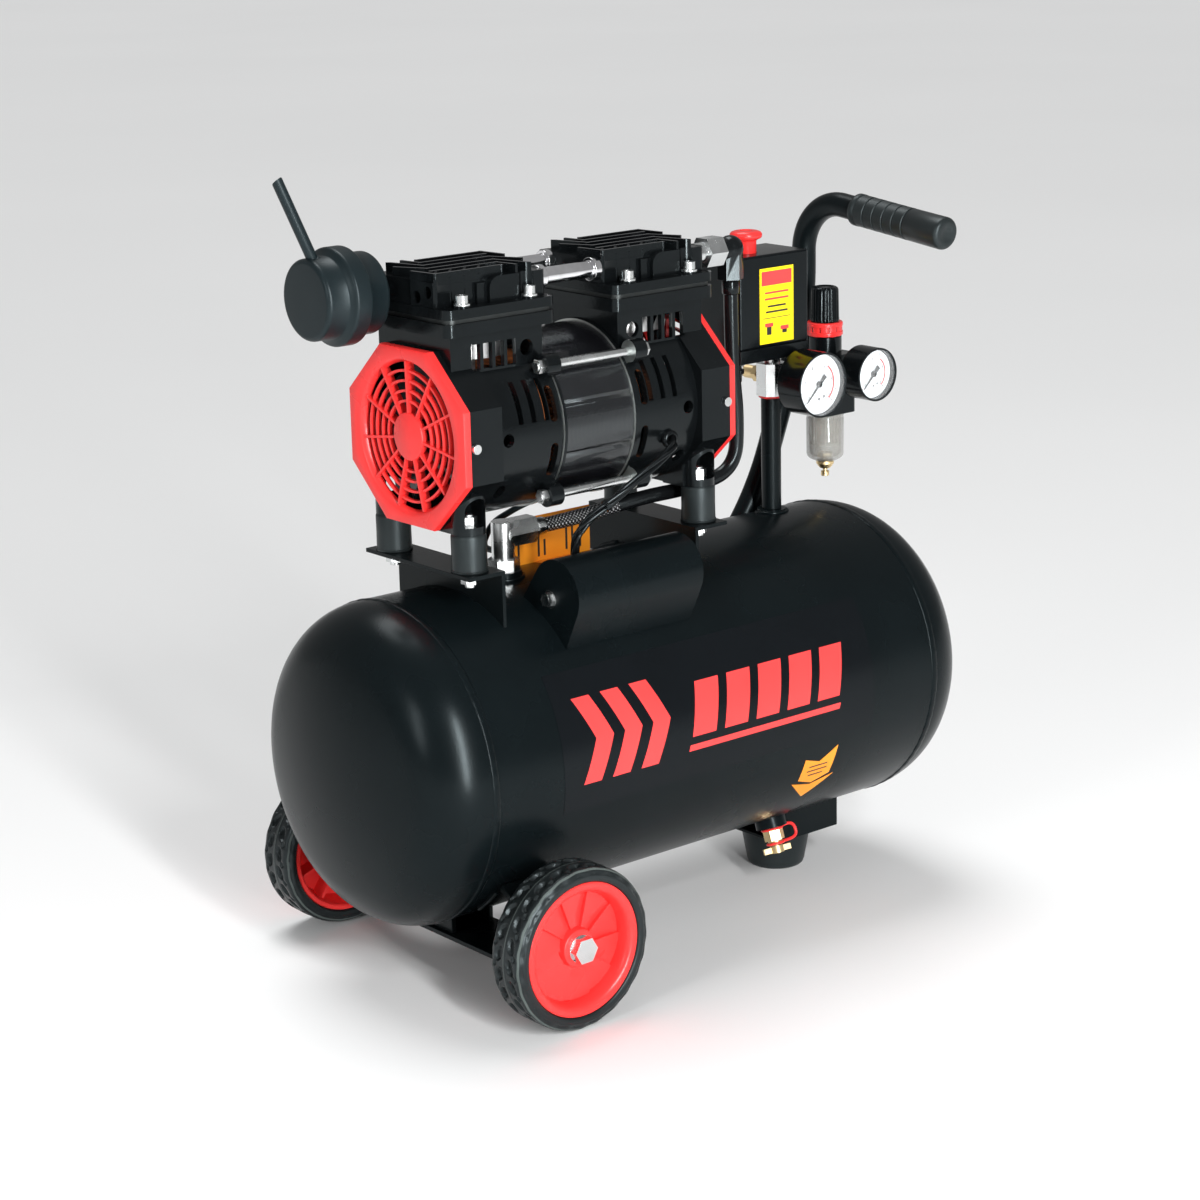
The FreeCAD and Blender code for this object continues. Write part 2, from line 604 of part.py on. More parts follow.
def cylinder_head(x):
    """Finned head with two plenums and a port at each corner of the ends."""
    top = HEAD_Z + FLANGE_T
    half = half_head(x, top)
    other = half.copy()
    other.rotate(V(x, 0, 0), Z, 180)
    pads = [rod((x + dx, dy, top), Z, 6.5, 1.5) for dx in (-BOLT_DX, BOLT_DX) for dy in (-BOLT_DY, BOLT_DY)]
    flange = rounded_plate(x, DECK_X, DECK_Y, HEAD_Z, FLANGE_T)
    outline = box((x - DECK_X, x + DECK_X), (-DECK_Y, DECK_Y), (HEAD_Z, top + FIN_TOP + 1))
    body = fuse([flange, half, other] + pads).common(outline)
    tools = [box((x - 30, x + 30), y, (HEAD_Z - 1, PORT_Z + 3.5)) for y in ((-31, -3), (3, 31))]
    tools += [rod((x - 60, y, PORT_Z), X, 4.4, 120) for y in (-PORT_Y, PORT_Y)]
    for dx in (-BOLT_DX, BOLT_DX):
        for dy in (-BOLT_DY, BOLT_DY):
            tools.append(rod((x + dx, dy, HEAD_Z - 1), Z, 3, 30))
            tools.append(rod((x + dx, dy, top + 1.5), Z, 7.5, 40))
    tools.append(rod((x - HEAD_HALF - 1, -14.5, PORT_Z - 4.5), X, 4.5, 12))
    tools.append(rod((x + HEAD_HALF + 1, 14.5, PORT_Z - 4.5), -X, 4.5, 12))
    return cut(body, tools)


def head_bolts():
    bolts = []
    seat = HEAD_Z + FLANGE_T + 1.5
    for x in (MOTOR_X - HEAD_DX, MOTOR_X + HEAD_DX):
        for dx in (-BOLT_DX, BOLT_DX):
            for dy in (-BOLT_DY, BOLT_DY):
                head = rod((x + dx, dy, seat + 1.4), Z, 4.8, 6)
                head = head.cut(hexagon((x + dx, dy, seat + 4), Z, 5, 5))
                washer = rod((x + dx, dy, seat), Z, 6.4, 1.4)
                shank = rod((x + dx, dy, DECK_Z), Z, 3, seat - DECK_Z)
                bolts.append(fuse([head, washer, shank]))
    return bolts


def crossover_pipes():
    """Two plated pipes between the heads, with a collar at each end."""
    start = MOTOR_X - HEAD_DX + HEAD_PORT
    length = 2 * (HEAD_DX - HEAD_PORT)
    pipes = []
    for y in (-PORT_Y, PORT_Y):
        tube = rod((start, y, PORT_Z), X, 6.4, length)
        collars = [rod((start, y, PORT_Z), X, 9, 6), rod((start + length - 6, y, PORT_Z), X, 9, 6)]
        pipes.append(fuse([tube] + collars).cut(rod((start - 1, y, PORT_Z), X, 4.8, length + 2)))
    return pipes


INTAKE_STEM = 10.5        # pipe between head and silencer


def intake():
    """Intake silencer on the -X port and its snorkel tube."""
    end = MOTOR_X - HEAD_DX - HEAD_PORT
    base = (end - INTAKE_STEM, PORT_Y + 4, PORT_Z - 4.5)
    profile = [(0, 0), (0, 30.5), (19, 30.5), (19, 32), (22, 36.5), (34, 36.5),
               (37, 34), (37, 30), (52, 30), (55, 27), (55, 0)]
    body = turned(profile, base, V(-1, 0, 0)).fuse(rod((end, base[1], base[2]), -X, 6.4, INTAKE_STEM))
    cavity = [(2.5, 0), (2.5, 28), (22, 28), (22, 34), (34.5, 34), (34.5, 27.5), (52, 27.5), (52, 0)]
    body = body.cut(turned(cavity, base, V(-1, 0, 0)))
    body = body.cut(rod((end - 24, base[1], base[2]), X, 5, 34))
    low = V(end - 56, base[1], base[2] + 26)
    tip = V(-285.9, base[1] + 1, 620)
    direction = (tip - low).normalize()
    node("intake_tube", ring(tuple(low), direction, 4.2, 3.0, (tip - low).Length))
    node("intake_silencer", body.cut(rod(tuple(low - direction * 2), direction, 4.2, 20)))


# ---- air line -------------------------------------------------------------------------------
HOSE_R = 6.0
ELBOW_X = MOTOR_X + HEAD_DX + HEAD_PORT
DROP_X = 94.0
CHECK_Z = 336.0


def air_fittings():
    """Discharge elbow, check valve and the nipple to the regulator."""
    run = fuse([rod((ELBOW_X, -PORT_Y, PORT_Z), X, 8, 10), hexagon((ELBOW_X + 9, -PORT_Y, PORT_Z), X, 22, 17)])
    elbow = fuse([run, rod((ELBOW_X + 25, -PORT_Y, PORT_Z), X, 9, DROP_X - ELBOW_X - 25),
                  Part.makeSphere(10.5, V(DROP_X, -PORT_Y, PORT_Z)),
                  hexagon((DROP_X, -PORT_Y, PORT_Z - 24), Z, 18, 20)])
    elbow = elbow.cut(rod((ELBOW_X - 1, -PORT_Y, PORT_Z), X, 5, DROP_X - ELBOW_X + 1))
    base_z = tank_z(0) + 5
    check = fuse([rod((CHECK_X, 0, base_z), Z, 9, CHECK_Z - base_z + 10),
                  hexagon((CHECK_X, 0, CHECK_Z), X, 20, 28),
                  hexagon((CHECK_X, 0, base_z), Z, 22, 9)])
    check = check.cut(rod((CHECK_X, 0, base_z - 1), Z, 4.5, CHECK_Z - base_z + 4))
    nipple = fuse([rod((POST_X + 11, POST_Y, LINE_Z), X, 6.5, REG_X - 19 - POST_X - 11),
                   hexagon((POST_X + 18, POST_Y, LINE_Z), X, 17, 8)])
    nipple = nipple.cut(rod((POST_X, POST_Y, LINE_Z), X, 4, 60))
    node("air_fittings", [elbow, check, nipple])


def discharge_hose():
    end_x = CHECK_X + 28
    points = [(DROP_X, -PORT_Y, PORT_Z - 24), (DROP_X, -PORT_Y, 446), (100, -PORT_Y, 400), (98, -27, 357),
              (56, -24, 348), (2, -18, 347), (-42, 0, CHECK_Z), (end_x, 0, CHECK_Z)]
    node("discharge_hose", hose(points, HOSE_R, name="discharge hose"))


def unloader_tube():
    low = CHECK_Z - 15.2
    points = [(CHECK_X, 9, low), (CHECK_X, 27, low), (CHECK_X + 14, 32, low + 16), (-66, 31, 349), (42, 30, 350),
              (92, 27, 358), (122, 24, 384), (128, 22, 414), (128, 22, 436)]
    node("unloader_tube", hose(points, 2.5, name="unloader tube"))


def outlet_pipe():
    base = tank_z(POST_Y) + 3
    node("outlet_pipe", ring((POST_X, POST_Y, base), Z, 8.2, 5.5, LINE_Z - 16 - base))


def manifold():
    """Plated block that joins pipe, switch, gauge, safety valve and regulator."""
    block = box((POST_X - 11, POST_X + 11), (POST_Y - 11, POST_Y + 11), (LINE_Z - 16, LINE_Z + 11))
    block = block.makeChamfer(5.5, [e for e in block.Edges if abs(e.Length - 27) < 0.1])
    neck = rod((POST_X, POST_Y, LINE_Z + 11), Z, 8, 8)
    bores = [rod((POST_X, POST_Y, LINE_Z - 17), Z, 5, 40),
             rod((POST_X, POST_Y, LINE_Z), X, 5, 20),
             rod((POST_X, POST_Y - 20, LINE_Z), Y, 4, 40)]
    node("manifold", cut(fuse([block, neck]), bores))


def relief_valve():
    """Spring-loaded safety valve with a pull ring at its end."""
    start = POST_Y + 11
    body = fuse([hexagon((POST_X, start, LINE_Z), Y, 13, 6),
                 rod((POST_X, start + 6, LINE_Z), Y, 5.5, 12)])
    node("relief_valve", body.cut(rod((POST_X, start + 10, LINE_Z), Y, 1.6, 12)))
    stem = rod((POST_X, start + 11, LINE_Z), Y, 1.5, 10)
    loop = Part.makeTorus(4.5, 1.0, V(POST_X, start + 25.2, LINE_Z), X)
    node("relief_ring", fuse([stem, loop]))


# ---- pressure switch ------------------------------------------------------------------------
def pressure_switch():
    base_z = LINE_Z + 19
    foot = box(SWITCH_X, SWITCH_Y, (base_z, SWITCH_Z[0]))
    gland = fuse([rod((SWITCH_X[0] + 7, 2, base_z - 16), Z, 6.5, 16),
                  hexagon((SWITCH_X[0] + 7, 2, base_z - 10), Z, 15, 4)])
    contacts = box((155, 186), (-6, 28), (SWITCH_Z[0], SWITCH_Z[0] + 45))
    base = fuse([foot, contacts, gland])
    base = cut(base, [rod((SWITCH_X[0] + 7, 2, base_z - 20), Z, 4, 26),
                      rod((POST_X, POST_Y, base_z - 1), Z, 4, 10)])
    node("switch_base", base)
    cover = box(SWITCH_X, SWITCH_Y, SWITCH_Z)
    cover = cover.makeFillet(2.0, cover.Edges)
    wall = 2.5
    room = box((SWITCH_X[0] + wall, SWITCH_X[1] - wall), (SWITCH_Y[0] + wall, SWITCH_Y[1] - wall),
               (SWITCH_Z[0] - 5, SWITCH_Z[1] - wall))
    node("switch_cover", cut(cover, [room, rod((KNOB_X, KNOB_Y, SWITCH_Z[1] - 10), Z, 9, 20)]))
    profile = [(-18, 0), (-18, 7), (-6, 7), (-6, 8.5), (11, 8.5), (12, 13), (15, 13.2), (18, 12), (19.5, 8), (20, 0)]
    node("switch_knob", turned(profile, (KNOB_X, KNOB_Y, SWITCH_Z[1]), Z))


# ---- gauges and regulator -------------------------------------------------------------------
GAUGES = {"tank": (POST_X, 26.5, 29.0), "outlet": (REG_X, 22.0, 25.0)}
DIAL_DEPTH = 6.0          # dial's face behind the rim


def gauge(x, radius, depth):
    """Case open to the front with its stem, dial plate and lens."""
    wall = 1.6
    case = turned([(0, radius - wall), (0, radius), (depth - 3, radius), (depth, radius - 3), (depth, 0),
                   (DIAL_DEPTH + 1, 0), (DIAL_DEPTH + 1, radius - wall)], (x, GAUGE_Y, LINE_Z), Y)
    stop = POST_Y - 11 if x == POST_X else POST_Y - 19
    back = GAUGE_Y + depth
    stem = fuse([hexagon((x, back, LINE_Z), Y, 12, stop - back - 2), rod((x, back, LINE_Z), Y, 5, stop - back)])
    stem = stem.cut(rod((x, back + 2, LINE_Z), Y, 2.5, stop - back))
    dial = rod((x, GAUGE_Y + DIAL_DEPTH, LINE_Z), Y, radius - wall, 1)
    dial = dial.cut(rod((x, GAUGE_Y, LINE_Z), Y, 1.2 + RUN_GAP, depth))
    lens = rod((x, GAUGE_Y + 1, LINE_Z), Y, radius - wall, 1.5)
    return fuse([case, stem]), dial, lens


def needle(x, radius):
    """Pointer resting at the zero mark, lower left of the dial."""
    y = GAUGE_Y + DIAL_DEPTH - 2.2
    boss = rod((x, y, LINE_Z), Y, 2.6, 1.6)
    pin = rod((x, y, LINE_Z), Y, 1.2, 2.8)
    tip = 0.74 * radius
    points = [(-0.9, 0), (-0.25, tip), (0.25, tip), (0.9, 0), (2.0, -0.34 * radius), (-2.0, -0.34 * radius)]
    corners = [V(px, y, pz) for px, pz in points]
    blade = Part.Face(Part.makePolygon(corners + corners[:1])).extrude(V(0, 0.8, 0))
    blade.rotate(V(0, 0, 0), Y, 225)
    blade.translate(V(x, 0, LINE_Z))
    return fuse([boss, pin, blade])


def gauges():
    parts = [gauge(*size) for size in GAUGES.values()]
    for index, name in enumerate(("gauge_cases", "gauge_dials", "gauge_lenses")):
        node(name, [part[index] for part in parts])
    for name, (x, radius, _) in GAUGES.items():
        node(name + "_gauge_needle", needle(x, radius))


BODY_TOP = 440.0
BOWL_TOP = 378.0


def regulator():
    """Filter regulator: body, panel ring, spindle, knob, element, bowl and bowl drain."""
    half = 19
    body = box((REG_X - half, REG_X + half), (POST_Y - half, POST_Y + half), (BOWL_TOP, BODY_TOP - 12))
    body = body.makeFillet(5, [e for e in body.Edges if abs(e.Length - (BODY_TOP - 12 - BOWL_TOP)) < 0.1])
    body = fuse([body, rod((REG_X, POST_Y, BODY_TOP - 12), Z, 14, 14)])
    body = cut(body, [rod((REG_X, POST_Y, BODY_TOP - 20), Z, 6 + RUN_GAP, 40),
                      rod((REG_X + 6, POST_Y, LINE_Z - 3), X, 5.7, 20),
                      rod((REG_X - half - 1, POST_Y, LINE_Z), X, 4, 14),
                      rod((REG_X, POST_Y, BOWL_TOP - 1), Z, 12, 16)])
    collar = ring((REG_X, POST_Y, BODY_TOP + 3), Z, 14.2, 6.4, 10.8)
    node("regulator_body", [body, collar])
    knob_low = BODY_TOP + 14.5
    spindle = rod((REG_X, POST_Y, BODY_TOP - 19), Z, 6, knob_low - BODY_TOP + 37)
    node("regulator_spindle", spindle)
    knob = turned([(0, 0), (0, 11.8), (3, 12.2), (27, 11.8), (29, 10), (29, 0)], (REG_X, POST_Y, knob_low), Z)
    flutes = [rod((REG_X + 12.6 * cos(a), POST_Y + 12.6 * sin(a), knob_low + 4), Z, 1.1, 30)
              for a in (2 * pi * k / 20 for k in range(20))]
    knob = cut(knob, flutes + [rod((REG_X, POST_Y, knob_low - 1), Z, 6 + RUN_GAP, 25)])
    node("regulator_knob", knob)
    bowl = turned([(0, 0), (0, 15.9), (-36, 15.6), (-39.5, 13.4), (-41.5, 9), (-41.5, 6.8), (-46, 6.6), (-48.5, 4.2),
                   (-48.5, 0)], (REG_X, POST_Y, BOWL_TOP), Z)
    room = turned([(1, 0), (1, 13.4), (-35, 13.2), (-37.5, 10.8), (-39, 6), (-39, 0)],
                  (REG_X, POST_Y, BOWL_TOP), Z)
    node("filter_bowl", cut(bowl, [room, rod((REG_X, POST_Y, BOWL_TOP - 60), Z, 1.9, 30)]))
    element = fuse([rod((REG_X, POST_Y, BOWL_TOP - 26), Z, 7.5, 26), rod((REG_X, POST_Y, BOWL_TOP - 28), Z, 10, 2),
                    rod((REG_X, POST_Y, BOWL_TOP), Z, 5.5, 15)])
    node("filter_element", element)
    stem = fuse([rod((REG_X, POST_Y, BOWL_TOP - 55), Z, 1.8, 19), rod((REG_X, POST_Y, BOWL_TOP - 55), Z, 3.4, 4),
                 rod((REG_X, POST_Y, BOWL_TOP - 38.6), Z, 3.2, 2)])
    node("bowl_drain", stem)


# ---- handle ---------------------------------------------------------------------------------
GRIP_SLOPE = radians(6.4)
GRIP_START = 64.0
GRIP_LENGTH = 97.0
CORNER_Z = 556.0


def handle_points():
    reach = GRIP_START + GRIP_LENGTH
    return [(150, HANDLE_Y, 264), (190, HANDLE_Y, 318), (HANDLE_X, HANDLE_Y, 452), (HANDLE_X, HANDLE_Y, CORNER_Z),
            (HANDLE_X, HANDLE_Y - reach * cos(GRIP_SLOPE), CORNER_Z - reach * sin(GRIP_SLOPE))]


def handle():
    tube = hose(handle_points(), HANDLE_R, HANDLE_R - 1.5, "handle tube")
    node("handle_tube", tube.cut(tank_core()))
    direction = V(0, -cos(GRIP_SLOPE), -sin(GRIP_SLOPE))
    start = V(HANDLE_X, HANDLE_Y, CORNER_Z) + direction * GRIP_START
    grip = turned([(0, HANDLE_R), (0, GRIP_R), (GRIP_LENGTH - 1, GRIP_R), (GRIP_LENGTH + 3, GRIP_R - 4),
                   (GRIP_LENGTH + 3, 0), (GRIP_LENGTH, 0), (GRIP_LENGTH, HANDLE_R)], tuple(start), direction)
    node("handle_grip", grip)


# ---- capacitor, leads, labels ---------------------------------------------------------------
CAP_X = (-131.0, -8.0)
CAP_Y, CAP_Z, CAP_R = -79.0, 305.0, 27.0
CAN_R = 20.0


def cover_outline(radius, x):
    """Closed wire in the plane x: two flanks tangent to the bulge, closed inside the receiver."""
    centre = V(x, CAP_Y, CAP_Z)
    upper, lower = V(x, -34, 288), V(x, -86, 258)

    def tangent(point, turn):
        away = point - centre
        spread = acos(radius / away.Length) * turn
        angle = atan2(away.z, away.y) + spread
        return centre + V(0, cos(angle), sin(angle)) * radius

    high, low = tangent(upper, 1), tangent(lower, -1)
    bulge = centre + ((high - centre) + (low - centre)).normalize() * radius
    return Part.Wire([Part.LineSegment(upper, high).toShape(), Part.Arc(high, bulge, low).toShape(),
                      Part.LineSegment(low, lower).toShape(), Part.LineSegment(lower, upper).toShape()])


def capacitor():
    length = CAP_X[1] - CAP_X[0]
    outer = Part.Face(cover_outline(CAP_R, CAP_X[0])).extrude(V(length, 0, 0))
    inner = Part.Face(cover_outline(CAP_R - 1.6, CAP_X[0] + 1.6)).extrude(V(length - 3.2, 0, 0))
    shell = cut(outer, [inner, tank_core(), rod((CAP_X[0] - 5, CAP_Y + 6, CAP_Z - 4), X, 3, 10),
                        rod((LEAD_X, -60, 290), Z, 5.5, 60)])
    node("capacitor_cover", shell)
    node("capacitor", rod((CAP_X[0] + 16, CAP_Y - 1, CAP_Z), X, CAN_R, 84))


LEAD_X = -97.0
LEAD_R = 4.0


def motor_leads():
    """Lead bundle from the rear crankcase to the capacitor, held by a tie."""
    points = [(-4, -64, 402), (-8, -79, 401), (-34, -80, 388), (-64, -76, 370), (-88, -67, 354),
              (LEAD_X, -61, 340), (LEAD_X, -60, 324)]
    bundle = hose(points, LEAD_R, name="motor leads")
    run = route(points)[0].Edges[6]
    start, end = run.Vertexes[0].Point, run.Vertexes[-1].Point
    along = (end - start).normalize()
    tie = ring(tuple((start + end) * 0.5 - along * 2), along, LEAD_R + 1.2, LEAD_R, 4)
    node("motor_leads", [bundle, tie])


def curved_label(x, low, high):
    """Thin patch on the receiver between two angles from horizontal on the -Y side."""
    patch = ring((x[0], 0, TANK_Z), X, TANK_R + 0.45, TANK_R + 0.05, x[1] - x[0])
    reach = 400

    def ray(angle):
        return (-reach * cos(radians(angle)), TANK_Z + reach * sin(radians(angle)))

    return patch.common(prism_x([(0, TANK_Z), ray(low), ray((low + high) / 2), ray(high)], *x))


def labels():
    switch = box((138, 175), (SWITCH_Y[0] - 0.4, SWITCH_Y[0]), (450, 511))
    node("labels", [curved_label((-164, 157), -12, 37), curved_label((84, 126), -40, -17),
                    curved_label((-72, -32), 84, 100), switch])


# ---- fasteners ------------------------------------------------------------------------------
def mount_fasteners():
    """Studs, nuts and washers of the four rubber mounts."""
    parts = []
    for x in (MOTOR_X - MOUNT_DX, MOTOR_X + MOUNT_DX):
        for y in (-MOUNT_DY, MOUNT_DY):
            low = BRACKET_Z - 3
            top = BRACKET_Z + MOUNT_H + 7
            parts.append(fuse([rod((x, y, low - 9), Z, 4, top - low + 17), hexagon((x, y, low - 6.5), Z, 12, 6.5),
                               hexagon((x, y, top), Z, 12, 6.5)]))
    return parts


def cover_screws():
    """Screws that hold the fan covers to the crankcases, and the capacitor cover's screw."""
    x = MOTOR_X - BELL_OUT + 4
    side = fuse([rod((x, -OCT_Y, MOTOR_Z), V(0, -1, 0), 3.6, 2.6), rod((x, -OCT_Y, MOTOR_Z), Y, 2, 6)])
    screws = both_ends(side) + both_ends(side.mirror(V(0, 0, 0), Y))
    cap = fuse([rod((CAP_X[0], CAP_Y + 6, CAP_Z - 4), V(-1, 0, 0), 7, 1.4),
                hexagon((CAP_X[0] - 1.4, CAP_Y + 6, CAP_Z - 4), V(-1, 0, 0), 9, 4.5),
                rod((CAP_X[0], CAP_Y + 6, CAP_Z - 4), X, 2.9, 8)])
    foot = fuse([rod((FOOT_X, 0, 11), Z, 3.9, 30), rod((FOOT_X, 0, 7), Z, 7.5, 4),
                 hexagon((FOOT_X, 0, FOOT_H + 3), Z, 12, 6)])
    return screws + [cap, foot]


def fasteners():
    screw_holes = [rod((MOTOR_X + s * (BELL_OUT - 4), -OCT_Y - 1, MOTOR_Z), Y, 2, 2 * OCT_Y + 2) for s in (-1, 1)]
    NODES["crankcases"] = Part.makeCompound([s for s in cut(NODES["crankcases"], screw_holes).Solids])
    node("screws_and_nuts", head_bolts() + mount_fasteners() + cover_screws())
    node("wheel_bolts", [wheel_bolt(-1), wheel_bolt(1)])


def rubber_mounts():
    mounts = []
    for x in (MOTOR_X - MOUNT_DX, MOTOR_X + MOUNT_DX):
        for y in (-MOUNT_DY, MOUNT_DY):
            mounts.append(ring((x, y, BRACKET_Z), Z, 14, 4, MOUNT_H + 1))
    node("rubber_mounts", mounts)


# ---- build ----------------------------------------------------------------------------------
def build():
    receiver()
    drain()
    wheel(-1, "left")
    wheel(1, "right")
    underside_brackets()
    rubber_foot()
    node("motor_brackets", both_ends(motor_bracket()))
    rubber_mounts()
    motor()
    rotating_group()
    piston(-1, "piston_front")
    piston(1, "piston_rear")
    cylinder_tops()
    node("crossover_pipes", crossover_pipes())
    intake()
    air_fittings()
    discharge_hose()
    unloader_tube()
    outlet_pipe()
    manifold()
    relief_valve()
    pressure_switch()
    gauges()
    regulator()
    handle()
    capacitor()
    motor_leads()
    labels()
    fasteners()


build()
os.makedirs("parts", exist_ok=True)
for name, shape in sorted(NODES.items()):
    shape.exportStep("parts/%s.step" % name)
    print("%-22s solids %2d  valid %s  volume %.0f" % (name, len(shape.Solids), shape.isValid(), shape.Volume))
print(len(NODES), "nodes")
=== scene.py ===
import json
from math import asin, atan2, cos, pi, radians, sin, sqrt, tan

import bmesh
import bpy
from mathutils import Matrix, Vector, noise

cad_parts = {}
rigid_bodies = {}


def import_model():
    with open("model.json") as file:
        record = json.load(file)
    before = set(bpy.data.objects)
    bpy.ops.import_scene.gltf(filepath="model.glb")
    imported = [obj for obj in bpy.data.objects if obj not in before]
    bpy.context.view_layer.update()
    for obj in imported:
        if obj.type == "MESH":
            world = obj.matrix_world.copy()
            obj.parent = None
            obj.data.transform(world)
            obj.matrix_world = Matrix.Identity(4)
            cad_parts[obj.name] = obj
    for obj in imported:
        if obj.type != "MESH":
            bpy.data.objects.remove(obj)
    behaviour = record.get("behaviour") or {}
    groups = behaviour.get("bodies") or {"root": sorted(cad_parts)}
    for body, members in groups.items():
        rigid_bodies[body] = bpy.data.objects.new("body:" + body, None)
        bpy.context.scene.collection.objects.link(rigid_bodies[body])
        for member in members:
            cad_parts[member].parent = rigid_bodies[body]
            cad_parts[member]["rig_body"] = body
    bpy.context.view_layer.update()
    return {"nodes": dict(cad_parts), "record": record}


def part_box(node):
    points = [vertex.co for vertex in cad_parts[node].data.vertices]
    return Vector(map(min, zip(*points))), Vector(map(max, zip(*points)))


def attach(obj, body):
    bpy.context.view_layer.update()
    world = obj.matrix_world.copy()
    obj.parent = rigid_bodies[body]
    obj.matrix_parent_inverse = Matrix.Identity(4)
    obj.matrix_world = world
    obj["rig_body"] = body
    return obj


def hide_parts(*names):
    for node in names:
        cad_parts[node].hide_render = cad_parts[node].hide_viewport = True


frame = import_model()

# Shapes are written in millimetres of the row frame and scaled once, when a piece is made.
MM = 0.001
NODES = frame["nodes"]
SLOT = {part["node"]: part["material_slot"] for part in frame["record"]["subparts"]}
X, Y, Z = Vector((1, 0, 0)), Vector((0, 1, 0)), Vector((0, 0, 1))


def box_mm(node):
    low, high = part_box(node)
    return low / MM, high / MM


def body_of(node):
    return NODES[node]["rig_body"]


# ---- materials ------------------------------------------------------------------------------
class Finish:
    """A principled material with a few helpers for procedural detail in object space."""

    def __init__(self, name, colour, rough, metal=0.0, **sockets):
        self.mat = bpy.data.materials.new(name)
        self.mat.use_nodes = True
        self.nodes, self.links = self.mat.node_tree.nodes, self.mat.node_tree.links
        self.shader = self.nodes["Principled BSDF"]
        self.shader.inputs["Base Color"].default_value = (*colour, 1)
        self.shader.inputs["Roughness"].default_value = rough
        self.shader.inputs["Metallic"].default_value = metal
        self.shader.inputs["Specular Tint"].default_value = (1, 1, 1, 1) if metal else (0.86, 1.0, 1.04, 1)
        for socket, value in sockets.items():
            self.shader.inputs[socket.replace("_", " ")].default_value = value
        self.colour, self.rough = colour, rough
        self.coords = self.nodes.new("ShaderNodeTexCoord")
        self.normal = None

    def noise(self, scale, detail=3.0, stretch=(1, 1, 1)):
        mapping = self.nodes.new("ShaderNodeMapping")
        mapping.inputs["Scale"].default_value = stretch
        self.links.new(self.coords.outputs["Object"], mapping.inputs["Vector"])
        texture = self.nodes.new("ShaderNodeTexNoise")
        texture.inputs["Scale"].default_value = scale
        texture.inputs["Detail"].default_value = detail
        self.links.new(mapping.outputs["Vector"], texture.inputs["Vector"])
        return texture.outputs["Fac"]

    def spread(self, source, low, high):
        ramp = self.nodes.new("ShaderNodeMapRange")
        ramp.inputs["From Min"].default_value = 0.3
        ramp.inputs["From Max"].default_value = 0.7
        ramp.inputs["To Min"].default_value = low
        ramp.inputs["To Max"].default_value = high
        self.links.new(source, ramp.inputs["Value"])
        return ramp.outputs["Result"]

    def blend_colour(self, source, first, second):
        mix = self.nodes.new("ShaderNodeMix")
        mix.data_type = "RGBA"
        self.links.new(source, mix.inputs["Factor"])
        for socket, value in ((mix.inputs[6], first), (mix.inputs[7], second)):
            if isinstance(value, tuple):
                socket.default_value = (*value, 1)
            else:
                self.links.new(value, socket)
        self.links.new(mix.outputs[2], self.shader.inputs["Base Color"])
        return mix.outputs[2]

    def vary(self, scale, tint=0.15, spread=0.06, stretch=(1, 1, 1)):
        """Slow changes of colour and roughness over the surface."""
        source = self.noise(scale, 4.0, stretch)
        dark = tuple(c * (1 - tint) for c in self.colour)
        light = tuple(min(1.0, c * (1 + tint)) for c in self.colour)
        self.blend_colour(self.spread(source, 0.0, 1.0), dark, light)
        rough = self.spread(source, max(0.02, self.rough - spread), self.rough + spread)
        self.links.new(rough, self.shader.inputs["Roughness"])
        return self

    def bump(self, source, distance, strength=1.0):
        node = self.nodes.new("ShaderNodeBump")
        node.inputs["Distance"].default_value = distance * MM
        node.inputs["Strength"].default_value = strength
        self.links.new(source, node.inputs["Height"])
        if self.normal is not None:
            self.links.new(self.normal, node.inputs["Normal"])
        self.normal = node.outputs["Normal"]
        self.links.new(self.normal, self.shader.inputs["Normal"])
        return self

    def grain(self, scale, distance, strength=1.0, stretch=(1, 1, 1)):
        return self.bump(self.noise(scale, 2.0, stretch), distance, strength)

    def bands(self, scale, axis, distance, coords="Object", strength=1.0):
        """Fine parallel grooves across one axis."""
        wave = self.nodes.new("ShaderNodeTexWave")
        wave.bands_direction = axis
        wave.inputs["Scale"].default_value = scale
        wave.inputs["Distortion"].default_value = 0.4
        self.links.new(self.coords.outputs[coords], wave.inputs["Vector"])
        self.bump(wave.outputs["Fac"], distance, strength)
        return wave.outputs["Fac"]


def powder_coat(name, colour, rough, gloss=0.13):
    finish = Finish(name, colour, rough, Specular_IOR_Level=gloss).vary(9, 0.18, 0.03)
    return finish.grain(700, 0.07, 0.5).grain(60, 0.2, 0.25)


def moulded(name, colour, rough, grain=0.03, gloss=0.38):
    return Finish(name, colour, rough, Specular_IOR_Level=gloss).vary(14, 0.06, 0.05).grain(1500, grain, 0.6)


def plated(name, colour, rough, stretch=(1, 1, 1)):
    return Finish(name, colour, rough, 1.0).vary(60, 0.10, 0.09).grain(900, 0.03, 0.7, stretch)


def rubber(name, colour, rough):
    return Finish(name, colour, rough, Specular_IOR_Level=0.35).vary(25, 0.25, 0.06).grain(2200, 0.05, 0.8)


def lacquered_stack():
    finish = Finish("stator_lacquer", (0.004, 0.004, 0.005), 0.14, Coat_Weight=0.6).vary(30, 0.2, 0.08)
    finish.bands(250, "X", 0.10)
    return finish.grain(300, 0.15, 0.6)


def wound_wire():
    finish = Finish("winding_copper", (0.62, 0.20, 0.07), 0.35, 0.7).vary(40, 0.25, 0.1)
    finish.bands(120, "Z", 0.5)
    return finish


